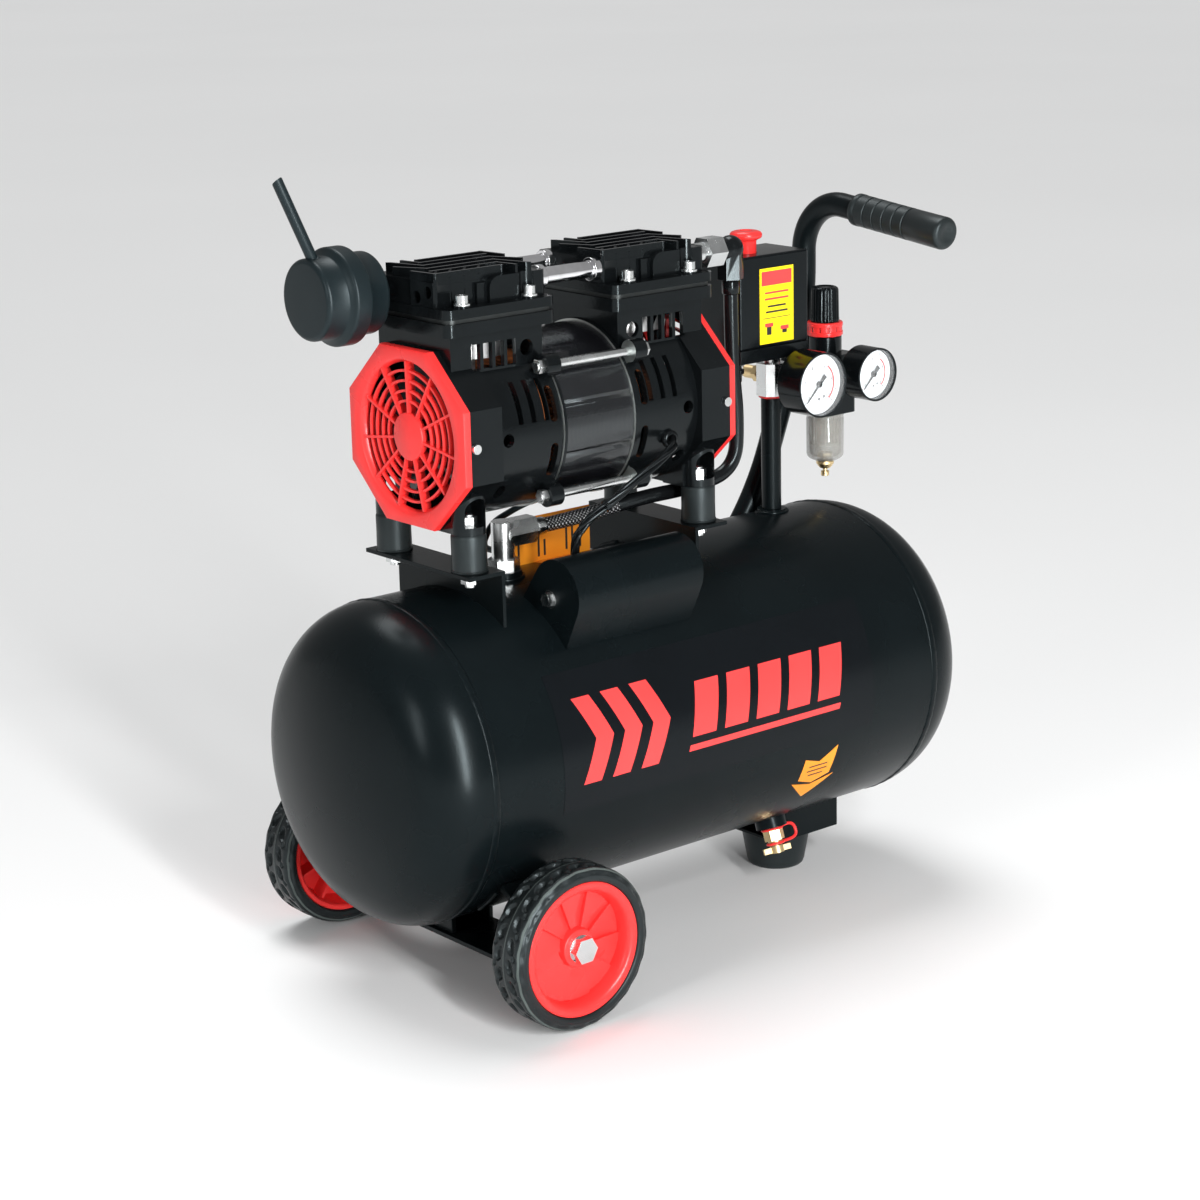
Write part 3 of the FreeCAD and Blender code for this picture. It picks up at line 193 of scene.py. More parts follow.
def braided():
    """Woven steel cover: two families of crossing wires in the hose's own coordinates."""
    finish = Finish("hose_braid", (0.30, 0.31, 0.33), 0.36, 0.85)
    heights = []
    for slant in (1, -1):
        mapping = finish.nodes.new("ShaderNodeMapping")
        mapping.inputs["Rotation"].default_value = (0, 0, slant * radians(45))
        finish.links.new(finish.coords.outputs["UV"], mapping.inputs["Vector"])
        wave = finish.nodes.new("ShaderNodeTexWave")
        wave.inputs["Scale"].default_value = 5.0
        finish.links.new(mapping.outputs["Vector"], wave.inputs["Vector"])
        heights.append(wave.outputs["Fac"])
    cross = finish.nodes.new("ShaderNodeMath")
    cross.operation = "MULTIPLY"
    finish.links.new(heights[0], cross.inputs[0])
    finish.links.new(heights[1], cross.inputs[1])
    finish.blend_colour(cross.outputs[0], (0.012, 0.012, 0.013), (0.55, 0.56, 0.58))
    return finish.bump(cross.outputs[0], 0.6)


def clear(name, colour, alpha, rough):
    finish = Finish(name, colour, rough, IOR=1.5, Alpha=alpha, Specular_IOR_Level=0.9)
    finish.vary(20, 0.04, 0.015)
    finish.mat.surface_render_method = "BLENDED"
    return finish


BLACK_GLOSS = (0.0035, 0.0043, 0.0048)
RED = (0.86, 0.034, 0.032)
FINISHES = {
    "tank_paint": powder_coat("tank_paint", (0.0030, 0.0050, 0.0058), 0.27),
    "bracket_paint": powder_coat("bracket_paint", (0.0032, 0.0048, 0.0054), 0.28),
    "casting_black": Finish("casting_gloss", BLACK_GLOSS, 0.18, Specular_IOR_Level=0.22)
    .vary(22, 0.2, 0.05).grain(260, 0.18, 0.35),
    "stator_black": lacquered_stack(),
    "gasket_silver": plated("gasket_edge", (0.60, 0.62, 0.60), 0.42),
    "copper_winding": wound_wire(),
    "bare_aluminium": plated("machined_aluminium", (0.80, 0.80, 0.80), 0.34),
    "zinc": plated("zinc_plate", (0.72, 0.74, 0.74), 0.24),
    "chrome_pipe": plated("bright_plate", (0.86, 0.86, 0.88), 0.10),
    "steel_dark": plated("ground_steel", (0.40, 0.40, 0.42), 0.35),
    "red_plastic": moulded("red_moulding", RED, 0.30),
    "black_plastic": moulded("black_moulding", (0.0030, 0.0038, 0.0044), 0.17, 0.03, 0.24),
    "black_matte": moulded("black_satin_moulding", (0.0075, 0.0125, 0.0145), 0.38, 0.06, 0.25),
    "white_plastic": moulded("white_moulding", (0.80, 0.80, 0.78), 0.35),
    "rubber_black": rubber("rubber", (0.0110, 0.0140, 0.0145), 0.42),
    "tyre_black": rubber("tyre_rubber", (0.0085, 0.0105, 0.0110), 0.36),
    "brass_fitting": plated("brass", (0.80, 0.62, 0.34), 0.38),
    "clear_bowl": clear("clear_bowl", (0.34, 0.33, 0.30), 0.50, 0.08),
    "gauge_glass": clear("gauge_glass", (0.96, 0.97, 0.98), 0.08, 0.03),
    "dial_white": moulded("dial_card", (0.84, 0.90, 0.93), 0.45),
    "needle_black": moulded("needle_paint", (0.006, 0.006, 0.006), 0.35),
    "label_panel": moulded("label_film", (0.0040, 0.0050, 0.0062), 0.22, 0.02, 0.14),
    "filter_white": rubber("sintered_filter", (0.55, 0.54, 0.50), 0.65),
    "piston_grey": plated("cast_piston", (0.55, 0.55, 0.57), 0.42),
    "cable_black": moulded("cable_jacket", (0.0040, 0.0045, 0.0050), 0.22, 0.03, 0.25),
}
SEAL_EDGE = plated("valve_plate_edge", (0.05, 0.055, 0.055), 0.40)
MACHINED = plated("machined_rim", (0.58, 0.62, 0.60), 0.38)
BRAID = braided()
DECAL_RED = moulded("decal_red", (0.84, 0.050, 0.048), 0.38)
DECAL_ORANGE = moulded("decal_orange", (0.90, 0.30, 0.018), 0.40)
DECAL_YELLOW = moulded("decal_yellow", (0.95, 0.72, 0.004), 0.38)
INK = moulded("printing_ink", (0.02, 0.02, 0.02), 0.5)
MOULD_LINE = rubber("tyre_flash", (0.075, 0.09, 0.085), 0.6)


# ---- mesh building --------------------------------------------------------------------------
class Shape:
    """Vertices and faces of one piece; every face carries the number of its material."""

    def __init__(self):
        self.verts, self.faces, self.marks = [], [], []

    def add(self, points, faces, mark=0):
        base = len(self.verts)
        self.verts += [tuple(p) for p in points]
        self.faces += [tuple(base + i for i in face) for face in faces]
        self.marks += [mark] * len(faces)
        return self

    def loft(self, loops, mark=0, wrap=False, caps=True):
        """Skin over closed loops of equal length, wrap joins the last loop to the first."""
        count = len(loops[0])
        points = [p for loop in loops for p in loop]
        faces = []
        for i in range(len(loops) if wrap else len(loops) - 1):
            a, b = i * count, (i + 1) % len(loops) * count
            for k in range(count):
                j = (k + 1) % count
                faces.append((a + k, a + j, b + j, b + k))
        if caps and not wrap:
            faces.append(tuple(range(count - 1, -1, -1)))
            faces.append(tuple(range(len(points) - count, len(points))))
        return self.add(points, faces, mark)

    def turned(self, profile, base, axis, count=64, mark=0, wrap=False, radius_at=None):
        """(distance, radius) points turned about an axis; radius_at bends the radius with the angle."""
        unit, side, other = triad(axis)
        loops = []
        for along, radius in profile:
            loop = []
            for k in range(count):
                turn = 2 * pi * k / count
                r = radius_at(radius, turn) if radius_at else radius
                loop.append(Vector(base) + unit * along + side * (r * cos(turn)) + other * (r * sin(turn)))
            loops.append(loop)
        return self.loft(loops, mark, wrap)

    def block(self, x, y, z, mark=0):
        corners = [(a, b, c) for a in x for b in y for c in z]
        faces = [(0, 1, 3, 2), (4, 6, 7, 5), (0, 4, 5, 1), (2, 3, 7, 6), (0, 2, 6, 4), (1, 5, 7, 3)]
        return self.add(corners, faces, mark)

    def prism(self, outline, origin, u, v, depth, mark=0):
        """Flat outline in the plane of u and v, thickened along their normal."""
        normal = Vector(u).cross(Vector(v)) * depth
        flat = [Vector(origin) + Vector(u) * a + Vector(v) * b for a, b in outline]
        return self.loft([flat, [p + normal for p in flat]], mark)

    def tube(self, path, radius, count=16, mark=0):
        """Round tube along a path of points; radius may be a function of the share of the path."""
        loops, side = [], None
        for i, here in enumerate(path):
            ahead = (path[min(i + 1, len(path) - 1)] - path[max(i - 1, 0)]).normalized()
            side = triad(ahead)[1] if side is None else (side - ahead * side.dot(ahead)).normalized()
            other = ahead.cross(side)
            r = radius(i / (len(path) - 1)) if callable(radius) else radius
            loops.append([here + side * (r * cos(2 * pi * k / count)) + other * (r * sin(2 * pi * k / count))
                          for k in range(count)])
        return self.loft(loops, mark)


def triad(axis):
    unit = Vector(axis).normalized()
    side = unit.cross(Z if abs(unit.z) < 0.9 else X).normalized()
    return unit, side, unit.cross(side)


def arc(centre, radius, start, end, steps):
    """(x, y) points of an arc between two angles in degrees, ends included."""
    turns = [radians(start + (end - start) * k / steps) for k in range(steps + 1)]
    return [(centre[0] + radius * cos(t), centre[1] + radius * sin(t)) for t in turns]


def round_edges(obj, width, angle=30.0, segments=2):
    bevel = obj.modifiers.new("rounded edges", "BEVEL")
    bevel.width = width * MM
    bevel.segments = segments
    bevel.limit_method = "ANGLE"
    bevel.angle_limit = radians(angle)
    bevel.harden_normals = True
    bevel.miter_outer = "MITER_ARC"
    return obj


def settle(obj, node, replaced=(), bevel=0.0, smooth=38.0):
    """Shading, rounded edges and body of a new piece, with the parts it replaces hidden."""
    obj.data.shade_smooth()
    obj.data.set_sharp_from_angle(angle=radians(smooth))
    bpy.context.scene.collection.objects.link(obj)
    if bevel:
        round_edges(obj, bevel)
    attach(obj, body_of(node))
    if replaced:
        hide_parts(*replaced)
    return obj


def piece(name, shape, node, finishes=(), slot=None, replaced=None, bevel=0.0, smooth=38.0):
    """Make a shape into a piece on a CAD node's body; it stands for that node unless told otherwise."""
    mesh = bpy.data.meshes.new(name)
    mesh.from_pydata([Vector(v) * MM for v in shape.verts], [], shape.faces)
    for finish in finishes or (FINISHES[slot or SLOT[node]],):
        mesh.materials.append(finish.mat)
    mesh.polygons.foreach_set("material_index", shape.marks)
    outward(mesh)
    obj = bpy.data.objects.new(name, mesh)
    return settle(obj, node, (node,) if replaced is None else replaced, bevel, smooth)


def outward(mesh):
    work = bmesh.new()
    work.from_mesh(mesh)
    bmesh.ops.recalc_face_normals(work, faces=work.faces)
    work.to_mesh(mesh)
    work.free()


def dressed(node, bevel=0.6, name=None, smooth=38.0):
    """The CAD solid itself with welded facets, rounded edges and its finish."""
    mesh = NODES[node].data.copy()
    mesh.materials.clear()
    work = bmesh.new()
    work.from_mesh(mesh)
    bmesh.ops.remove_doubles(work, verts=work.verts, dist=2e-6)
    bmesh.ops.dissolve_limit(work, angle_limit=radians(0.5), verts=work.verts, edges=work.edges)
    work.to_mesh(mesh)
    work.free()
    mesh.materials.append(FINISHES[SLOT[node]].mat)
    if "custom_normal" in mesh.attributes:
        mesh.attributes.remove(mesh.attributes["custom_normal"])
    return settle(bpy.data.objects.new(name or node + "_shown", mesh), node, (node,), bevel, smooth)


def repaint(obj, finish, wanted):
    """Give a second finish to the faces whose centre (millimetres) and normal are wanted."""
    obj.data.materials.append(finish.mat)
    last = len(obj.data.materials) - 1
    for face in obj.data.polygons:
        if wanted(face.center / MM, face.normal):
            face.material_index = last


def smooth_route(points):
    """Points on a NURBS line whose control points are the route's."""
    curve = bpy.data.curves.new("route", "CURVE")
    curve.dimensions = "3D"
    spline = curve.splines.new("NURBS")
    spline.points.add(len(points) - 1)
    for point, place in zip(spline.points, points):
        point.co = (*place, 1)
    spline.order_u = 3
    spline.use_endpoint_u = True
    spline.resolution_u = 12
    holder = bpy.data.objects.new("route", curve)
    mesh = bpy.data.meshes.new_from_object(holder)
    line = [v.co.copy() for v in mesh.vertices]
    bpy.data.objects.remove(holder)
    bpy.data.meshes.remove(mesh)
    return line


# ---- receiver -------------------------------------------------------------------------------
SHELL_LOW, SHELL_HIGH = box_mm("tank_shell")
ENDS_LOW, ENDS_HIGH = box_mm("tank_ends")
TANK_R = (SHELL_HIGH.z - SHELL_LOW.z) / 2
TANK_Z = (SHELL_HIGH.z + SHELL_LOW.z) / 2
SEAM_X = SHELL_HIGH.x
DISH_DEPTH = ENDS_HIGH.x - SEAM_X
DISH_KNUCKLE = 53.0
BEAD_HALF, BEAD_H = 3.2, 0.9


def on_tank(x, angle, lift=0.0):
    """Point on the receiver at an angle from horizontal on the -Y side, in degrees."""
    r = TANK_R + lift
    return Vector((x, -r * cos(radians(angle)), TANK_Z + r * sin(radians(angle))))


def dish_half():
    """(x, radius) points from the girth seam to the pole of the +X end."""
    flat = TANK_R - DISH_KNUCKLE
    crown = (DISH_DEPTH ** 2 - DISH_KNUCKLE ** 2 + flat ** 2) / (2 * (DISH_DEPTH - DISH_KNUCKLE))
    turn = asin(flat / (crown - DISH_KNUCKLE))
    knuckle = [(SEAM_X + DISH_KNUCKLE * sin(t), flat + DISH_KNUCKLE * cos(t))
               for t in ((pi / 2 - turn) * k / 14 for k in range(15))]
    middle = SEAM_X + DISH_DEPTH - crown
    dome = [(middle + crown * cos(t), crown * sin(t)) for t in (turn * (1 - k / 12) for k in range(1, 12))]
    return knuckle + dome + [(SEAM_X + DISH_DEPTH - 0.001, 2.0)]


def receiver():
    half = dish_half()
    profile = [(-x, r) for x, r in reversed(half)] + half
    shape = Shape().turned(profile, (0, 0, TANK_Z), X, 192)
    piece("receiver", shape, "tank_shell", replaced=("tank_shell", "tank_ends"), smooth=60)
    welds = Shape()
    for side in (-1, 1):
        section = arc((0, 0), 1, 0, 180, 8)
        profile = [(side * SEAM_X + BEAD_HALF * a, TANK_R - 0.2 + BEAD_H * b) for a, b in section]
        profile.append((side * SEAM_X, TANK_R - 1.5))
        welds.turned(profile, (0, 0, TANK_Z), X, 288, wrap=True,
                     radius_at=lambda r, t: r + 0.12 * sin(70 * t)
                      + 0.15 * noise.noise(Vector((9 * cos(t), 9 * sin(t), side))))
    piece("girth_welds", welds, "tank_shell", replaced=(), smooth=80)


def weld_run(shape, path, radius=1.7):
    """A hand-laid bead: overlapping ripples along the path."""
    length = sum((b - a).length for a, b in zip(path, path[1:]))
    ripples = length / 3.2
    shape.tube(path, lambda s: radius * (1 + 0.22 * sin(2 * pi * ripples * s)
                                         + 0.2 * noise.noise(Vector((7 * s, length, 1)))), 10)


def bracket_welds():
    """Beads where brackets and bosses meet the receiver."""
    shape = Shape()
    low, high = box_mm("motor_brackets")
    for x in (low.x + 33.4, high.x - 33.4):
        for start in (66, 104):
            weld_run(shape, [on_tank(x, start + a, 0.4) for a in (0, 2, 4, 6, 8, 10)])
    post_low, post_high = box_mm("outlet_pipe")
    post = ((post_low.x + post_high.x) / 2, (post_low.y + post_high.y) / 2)
    for centre, radius in ((post, 12.6), ((CHECK_X, 0.0), 14.6)):
        ring = []
        for k in range(49):
            x, y = centre[0] + radius * cos(2 * pi * k / 48), centre[1] + radius * sin(2 * pi * k / 48)
            ring.append(Vector((x, y, TANK_Z + sqrt(TANK_R ** 2 - y * y) + 0.4)))
        weld_run(shape, ring, 1.5)
    axle_low = box_mm("underside_brackets")[0]
    for x in (axle_low.x - 0.4, axle_low.x + 48.4):
        for side in (-1, 1):
            angles = [-90 + side * (48 - 1.2 * k) for k in range(12)]
            weld_run(shape, [on_tank(x, a, 0.4) for a in angles])
    piece("bracket_welds", shape, "tank_shell", replaced=(), smooth=80)


CHECK_X = -118.0          # check valve and its boss


# ---- labels ---------------------------------------------------------------------------------
def patch(shape, corners, lift, thick, mark, across=24, up=10):
    """Four-sided patch wrapped on the receiver; corners are (x, angle), counted round."""
    def point(s, t, height):
        (xa, aa), (xb, ab), (xc, ac), (xd, ad) = corners
        x = (xa * (1 - s) + xb * s) * (1 - t) + (xd * (1 - s) + xc * s) * t
        angle = (aa * (1 - s) + ab * s) * (1 - t) + (ad * (1 - s) + ac * s) * t
        return on_tank(x, angle, height)

    points = [point(i / across, j / up, h) for h in (lift, lift + thick)
              for j in range(up + 1) for i in range(across + 1)]
    row, layer = across + 1, (across + 1) * (up + 1)
    faces = []
    for j in range(up):
        for i in range(across):
            a = j * row + i
            faces.append((a, a + row, a + row + 1, a + 1))
            faces.append(tuple(layer + n for n in (a, a + 1, a + row + 1, a + row)))
    rim = [j for j in range(row)] + [j * row + across for j in range(1, up + 1)]
    rim += [up * row + i for i in range(across - 1, -1, -1)] + [j * row for j in range(up - 1, 0, -1)]
    for a, b in zip(rim, rim[1:] + rim[:1]):
        faces.append((a, b, layer + b, layer + a))
    shape.add(points, faces, mark)


def slanted(x, width, low, high, lean):
    return [(x, low), (x + width, low), (x + width + lean, high), (x + lean, high)]


def receiver_labels():
    """Side panel with plain stripes and chevrons, the drain arrow and the plain tank-top patch."""
    shape = Shape()
    panel = ((-164, -12), (157, -12), (157, 37), (-164, 37))
    patch(shape, panel, 0.02, 0.22, 0, 48, 16)
    for x in (-146, -118, -90):
        patch(shape, [(x, -3), (x + 17, -3), (x + 32, 12), (x + 15, 12)], 0.24, 0.08, 1)
        patch(shape, [(x + 15, 12), (x + 32, 12), (x + 17, 27), (x, 27)], 0.24, 0.08, 1)
    for k in range(5):
        patch(shape, slanted(-38 + 33 * k, 24, 3, 22, 10), 0.24, 0.08, 1)
    patch(shape, slanted(-42, 160, -2, 0.2, 1.5), 0.24, 0.08, 1, 48, 3)
    arrow = [[(88, -20), (105, -22.5), (105, -33), (88, -30)],
             [(105, -22.5), (122, -17), (122, -30), (105, -33)],
             [(82, -31), (105, -34), (105, -41.5), (105, -41.5)],
             [(105, -34), (128, -31), (105, -41.5), (105, -41.5)]]
    for corners in arrow:
        patch(shape, corners, 0.05, 0.2, 2, 8, 8)
    for angle, half in ((-24.5, 10), (-26.6, 11), (-28.7, 8)):
        patch(shape, [(105 - half, angle), (105 + half, angle), (105 + half, angle + 0.6),
                      (105 - half, angle + 0.6)],
              0.25, 0.05, 4, 6, 1)
    patch(shape, [(-72, 84), (-32, 84), (-32, 100), (-72, 100)], 0.05, 0.3, 2, 6, 8)
    for k in range(4):
        patch(shape, [(-68, 86.5 + 3 * k), (-38, 86.5 + 3 * k), (-38, 87.3 + 3 * k), (-68, 87.3 + 3 * k)],
              0.36, 0.05, 4, 6, 1)
    shape.block((-100, -14), (22, 22.4), (300.4, 338), 2)
    for x, low, high in ((-92, 306, 332), (-86, 304, 322), (-66, 305, 330), (-60, 305, 318),
                         (-38, 306, 331), (-32, 304, 324), (-24, 306, 326)):
        shape.block((x - 1, x + 1), (21.9, 22.05), (low, high), 4)
    front = SWITCH_LOW.y
    shape.block((138, 175), (front - 0.35, front), (450, 511), 3)
    shape.block((140, 173), (front - 0.42, front - 0.3), (497, 508.5), 1)
    shape.block((141.5, 171.5), (front - 0.42, front - 0.3), (470.2, 470.8), 4)
    for z, half in ((491, 13), (486, 13), (480, 10), (475.5, 12)):
        shape.block((156.5 - half, 156.5 + half), (front - 0.42, front - 0.3), (z - 0.8, z + 0.8),
                    1 if z > 483 else 4)
    for x, lift in ((148, 3.5), (165, 0)):
        shape.block((x - 4.5, x + 4.5), (front - 0.42, front - 0.3), (460 + lift, 463 + lift), 1)
        shape.block((x - 2.5, x + 2.5), (front - 0.42, front - 0.3), (457, 460 + lift), 4)
    piece("printed_labels", shape, "labels", (FINISHES["label_panel"], DECAL_RED, DECAL_ORANGE,
                                              DECAL_YELLOW, INK), smooth=30)


SWITCH_LOW, SWITCH_HIGH = box_mm("switch_cover")


# ---- wheels ---------------------------------------------------------------------------------
TYRE_LOW, TYRE_HIGH = box_mm("tyre_left")
WHEEL_R = (TYRE_HIGH.z - TYRE_LOW.z) / 2
WHEEL_X = (TYRE_HIGH.x + TYRE_LOW.x) / 2
TYRE_W = TYRE_HIGH.y - TYRE_LOW.y
WHEEL_OUT_Y = -TYRE_LOW.y
RIM_R = 52.0
POCKETS = 24              # tread pockets in one row
PANELS = 10               # fan panels of a rim


def step(value, low, high):
    share = max(0.0, min(1.0, (value - low) / (high - low)))
    return share * share * (3 - 2 * share)


def tread_depth(turn, across):
    """How far the surface lies under the tyre's outline at an angle and a distance across the tread."""
    depth = 0.0
    for row, (middle, lean) in enumerate(((11.2, 0.45), (23.8, -0.45))):
        for small in (0, 1):
            place = turn * POCKETS / (2 * pi) + 0.5 * row + 0.5 * small
            off = (place - round(place)) * 2 * pi * WHEEL_R / POCKETS
            shift = 3.7 * (1 if row == 0 else -1) * small
            v = across - middle + shift * 1.15
            half_u, half_v = (5.6, 3.9) if not small else (2.6, 1.7)
            u = off + lean * v
            edge = (abs(u / half_u) ** 2.6 + abs(v / half_v) ** 2.6) ** (1 / 2.6)
            depth = max(depth, (2.6 if not small else 1.5) * (1 - step(edge, 0.78, 1.04)))
    return depth


def tyre(side, name):
    """Solid tyre with pockets in the tread, a moulding line round the middle and stepped sidewalls."""
    shape = Shape()
    section = [(1.0, RIM_R), (0.5, 53.0), (0.2, 54.5), (0.0, 56.0), (0.5, 57.2), (1.0, 57.6), (1.2, 59.0),
               (2.0, 60.4),
               (3.4, 61.6), (4.6, 62.1)]
    rows = [(a, r, 0) for a, r in section]
    steps = 34
    for k in range(steps + 1):
        across = 5.6 + (TYRE_W - 11.2) * k / steps
        rows.append((across, WHEEL_R - 0.25 if abs(across - TYRE_W / 2) > 0.9 else WHEEL_R, 1))
    rows += [(TYRE_W - a, r, 0) for a, r in reversed(section)]
    count = 432
    loops = []
    for across, radius, carved in rows:
        loop = []
        for k in range(count):
            turn = 2 * pi * k / count
            r = radius - (tread_depth(turn, across) if carved else 0.0)
            wave = 0.35 * sin(POCKETS * turn) if 57.2 < radius < 61.8 and not carved else 0.0
            y = side * (WHEEL_OUT_Y - across - wave)
            loop.append((WHEEL_X + r * cos(turn), y, WHEEL_R + r * sin(turn)))
        loops.append(loop)
    inner = [[(WHEEL_X + (RIM_R - 0.6) * cos(2 * pi * k / count), side * (WHEEL_OUT_Y - a),
               WHEEL_R + (RIM_R - 0.6) * sin(2 * pi * k / count)) for k in range(count)]
             for a in (TYRE_W - 4, 4)]
    shape.loft(loops + inner, wrap=True)
    for i, (across, radius, carved) in enumerate(rows):
        if carved and abs(across - TYRE_W / 2) < 0.5 or radius == 60.4:
            for k in range(count):
                shape.marks[i * count + k] = 1
    piece("tyre_" + name + "_shown", shape, "tyre_" + name, (FINISHES["tyre_black"], MOULD_LINE), smooth=55)


def rim(side, name):
    """Dished rim: rounded lip, ten overlapping fan panels and a raised hub, ribs on the back."""
    shape = Shape()
    base = (WHEEL_X, side * WHEEL_OUT_Y, WHEEL_R)
    inward = Vector((0, -side, 0))
    lip = [(3.0, RIM_R - 0.4), (1.6, RIM_R - 0.8), (1.1, RIM_R - 2.0), (1.2, RIM_R - 4.5), (1.9, RIM_R - 6.3),
           (3.4, RIM_R - 7.6), (6.0, RIM_R - 8.8), (9.5, RIM_R - 9.8), (12.5, RIM_R - 10.2)]
    back = [(14.5, RIM_R - 10.2), (TYRE_W - 14, RIM_R - 7), (TYRE_W - 3, RIM_R - 5), (TYRE_W - 2, RIM_R - 4),
            (TYRE_W - 1.6, RIM_R - 1), (TYRE_W - 3, RIM_R - 0.4)]
    shape.turned(lip + back, base, inward, 128, wrap=True)
    hub = [(20, 7.0), (7.2, 7.0), (6.4, 7.6), (6.4, 13.2), (7.0, 14.2), (9.5, 14.8), (12.5, 15.6),
           (34.0, 15.6),
           (34.0, 7.0)]
    shape.turned(hub, base, inward, 64, wrap=True)
    unit, along, other = triad(inward)
    radii = [14.2, 17, 21, 26, 31, 36, 39.5, 42.4]
    steps = 8
    for panel in range(PANELS):
        start = 2 * pi * panel / PANELS
        front, rear = [], []
        for i, r in enumerate(radii):
            rise = 3.4 * sin(pi * min(1.0, (r - 10) / 36.0)) ** 0.5
            for k in range(steps + 1):
                turn = start + 2 * pi / PANELS * k / steps
                depth = 9.6 + 2.3 * (r / 42.0) + rise * (k / steps)
                place = Vector(base) + along * (r * cos(turn)) + other * (r * sin(turn))
                front.append(place + unit * depth)
                rear.append(place + unit * 16.5)
        row = steps + 1
        layer = len(front)
        faces = []
        for i in range(len(radii) - 1):
            for k in range(steps):
                a = i * row + k
                faces.append((a, a + 1, a + row + 1, a + row))
                faces.append((layer + a, layer + a + row, layer + a + row + 1, layer + a + 1))
            for k in (0, steps):
                a = i * row + k
                faces.append((a, a + row, layer + a + row, layer + a))
        for i in (0, len(radii) - 1):
            for k in range(steps):
                a = i * row + k
                faces.append((a, a + 1, layer + a + 1, layer + a))
        shape.add(front + rear, faces)
        turn = start + pi / PANELS
        spoke = along * cos(turn) + other * sin(turn)
        cross = unit.cross(spoke)
        shape.prism([(15, -1.2), (RIM_R - 7, -1.2), (RIM_R - 7, 1.2), (15, 1.2)],
                    Vector(base) + unit * 16.5, spoke, cross,
                    14.0 if (spoke.cross(cross)).dot(unit) > 0 else -14.0)
    piece("wheel_rim_" + name + "_shown", shape, "wheel_rim_" + name, smooth=32)


# ---- fan covers and motor -------------------------------------------------------------------
COVER_LOW, COVER_HIGH = box_mm("fan_covers")
MOTOR_Z = (COVER_LOW.z + COVER_HIGH.z) / 2
OCT_Y = (COVER_HIGH.y - COVER_LOW.y) / 2
OCT_Z = (COVER_HIGH.z - COVER_LOW.z) / 2
COVER_X = COVER_LOW.x
SPOKES = 11


def octagon_radius(turn, inset=0.0):
    """Distance from the shaft to the octagon's side, turn is measured from +Y towards +Z."""
    half_y, half_z = OCT_Y - inset, OCT_Z - inset
    cut_y, cut_z = half_y * tan(pi / 8), half_z * tan(pi / 8)
    c, s = abs(cos(turn)), abs(sin(turn))
    slant = Vector((half_z - cut_z, half_y - cut_y)).normalized()
    reach = slant.x * half_y + slant.y * cut_z
    limits = [reach / (slant.x * c + slant.y * s)]
    if c > 1e-6:
        limits.append(half_y / c)
    if s > 1e-6:
        limits.append(half_z / s)
    return min(limits)


def corner_turns(extra=15):
    """Angles that include the octagon's corners exactly."""
    cut_y, cut_z = OCT_Y * tan(pi / 8), OCT_Z * tan(pi / 8)
    first = [atan2(cut_z, OCT_Y), atan2(OCT_Z, cut_y)]
    corners = sorted([first[0], first[1], pi - first[1], pi - first[0], pi + first[0], pi + first[1],
                      2 * pi - first[1], 2 * pi - first[0]])
    turns = []
    for a, b in zip(corners, corners[1:] + [corners[0] + 2 * pi]):
        turns += [a + (b - a) * k / extra for k in range(extra)]
    return turns


def fan_cover(side, name):
    """Octagonal grille: frame with a conical throat, four rings, a flat hub and deep thin vanes."""
    shape = Shape()
    turns = corner_turns()
    front = COVER_X if side < 0 else COVER_HIGH.x
    inward = -side

    def loop(depth, radius):
        return [(front + inward * depth, radius(t) * cos(t), MOTOR_Z + radius(t) * sin(t)) for t in turns]

    loops = [loop(6.0, lambda t: octagon_radius(t)), loop(1.2, lambda t: octagon_radius(t)),
             loop(0.35, lambda t: octagon_radius(t, 0.35)), loop(0.0, lambda t: octagon_radius(t, 1.2)),
             loop(0.0, lambda t: 59.0), loop(0.4, lambda t: 58.1), loop(5.0, lambda t: 55.2),
             loop(6.0, lambda t: 55.2)]
    shape.loft(loops, wrap=True)
    axis = Vector((inward, 0, 0))
    base = (front, 0, MOTOR_Z)
    for r in (26.5, 34.0, 41.5, 49.0):
        shape.turned([(3.0, r - 0.9), (3.0, r + 0.9), (3.3, r + 1.0), (6.2, r + 1.0), (6.2, r - 1.0),
                      (3.3, r - 1.0)],
                     base, axis, 96, wrap=True)
    shape.turned([(6.5, 17.6), (2.4, 18.0), (1.8, 17.7), (1.5, 17.0)], base, axis, 64)
    for k in range(SPOKES):
        turn = pi / 2 + 2 * pi * k / SPOKES
        out = Vector((0, cos(turn), sin(turn)))
        across = axis.cross(out)
        outline = [(16.5, 2.2), (56.5, 1.6), (56.5, 8.5), (50, 9.5), (16.5, 9.5)]
        start = Vector(base) - across * 0.9
        shape.prism([(a, b) for a, b in outline], start, out, axis,
                    1.8 if out.cross(axis).dot(across) > 0 else -1.8)
    piece("fan_cover_" + name, shape, "fan_covers", replaced=("fan_covers",) if side < 0 else (), smooth=35)


def stator():
    """Lacquered lamination stack with two shallow welded grooves on each side."""
    low, high = box_mm("stator_core")
    radius = (high.z - low.z) / 2

    def grooved(r, turn):
        dip = 0.0
        for groove in (0.30, -0.30, pi - 0.30, pi + 0.30 - 2 * pi, -pi + 0.30):
            off = abs((turn + pi) % (2 * pi) - pi - groove) * radius
            dip = max(dip, 1.1 * (1 - step(off, 1.0, 2.0)))
        return r - dip if r > 50 else r

    shape = Shape().turned([(0, 41), (0, radius - 0.3), (0.3, radius), (high.x - low.x - 0.3, radius),
                            (high.x - low.x, radius - 0.3), (high.x - low.x, 41)],
                           (low.x, 0, MOTOR_Z), X, 288, wrap=True, radius_at=grooved)
    piece("stator_stack", shape, "stator_core", smooth=40)


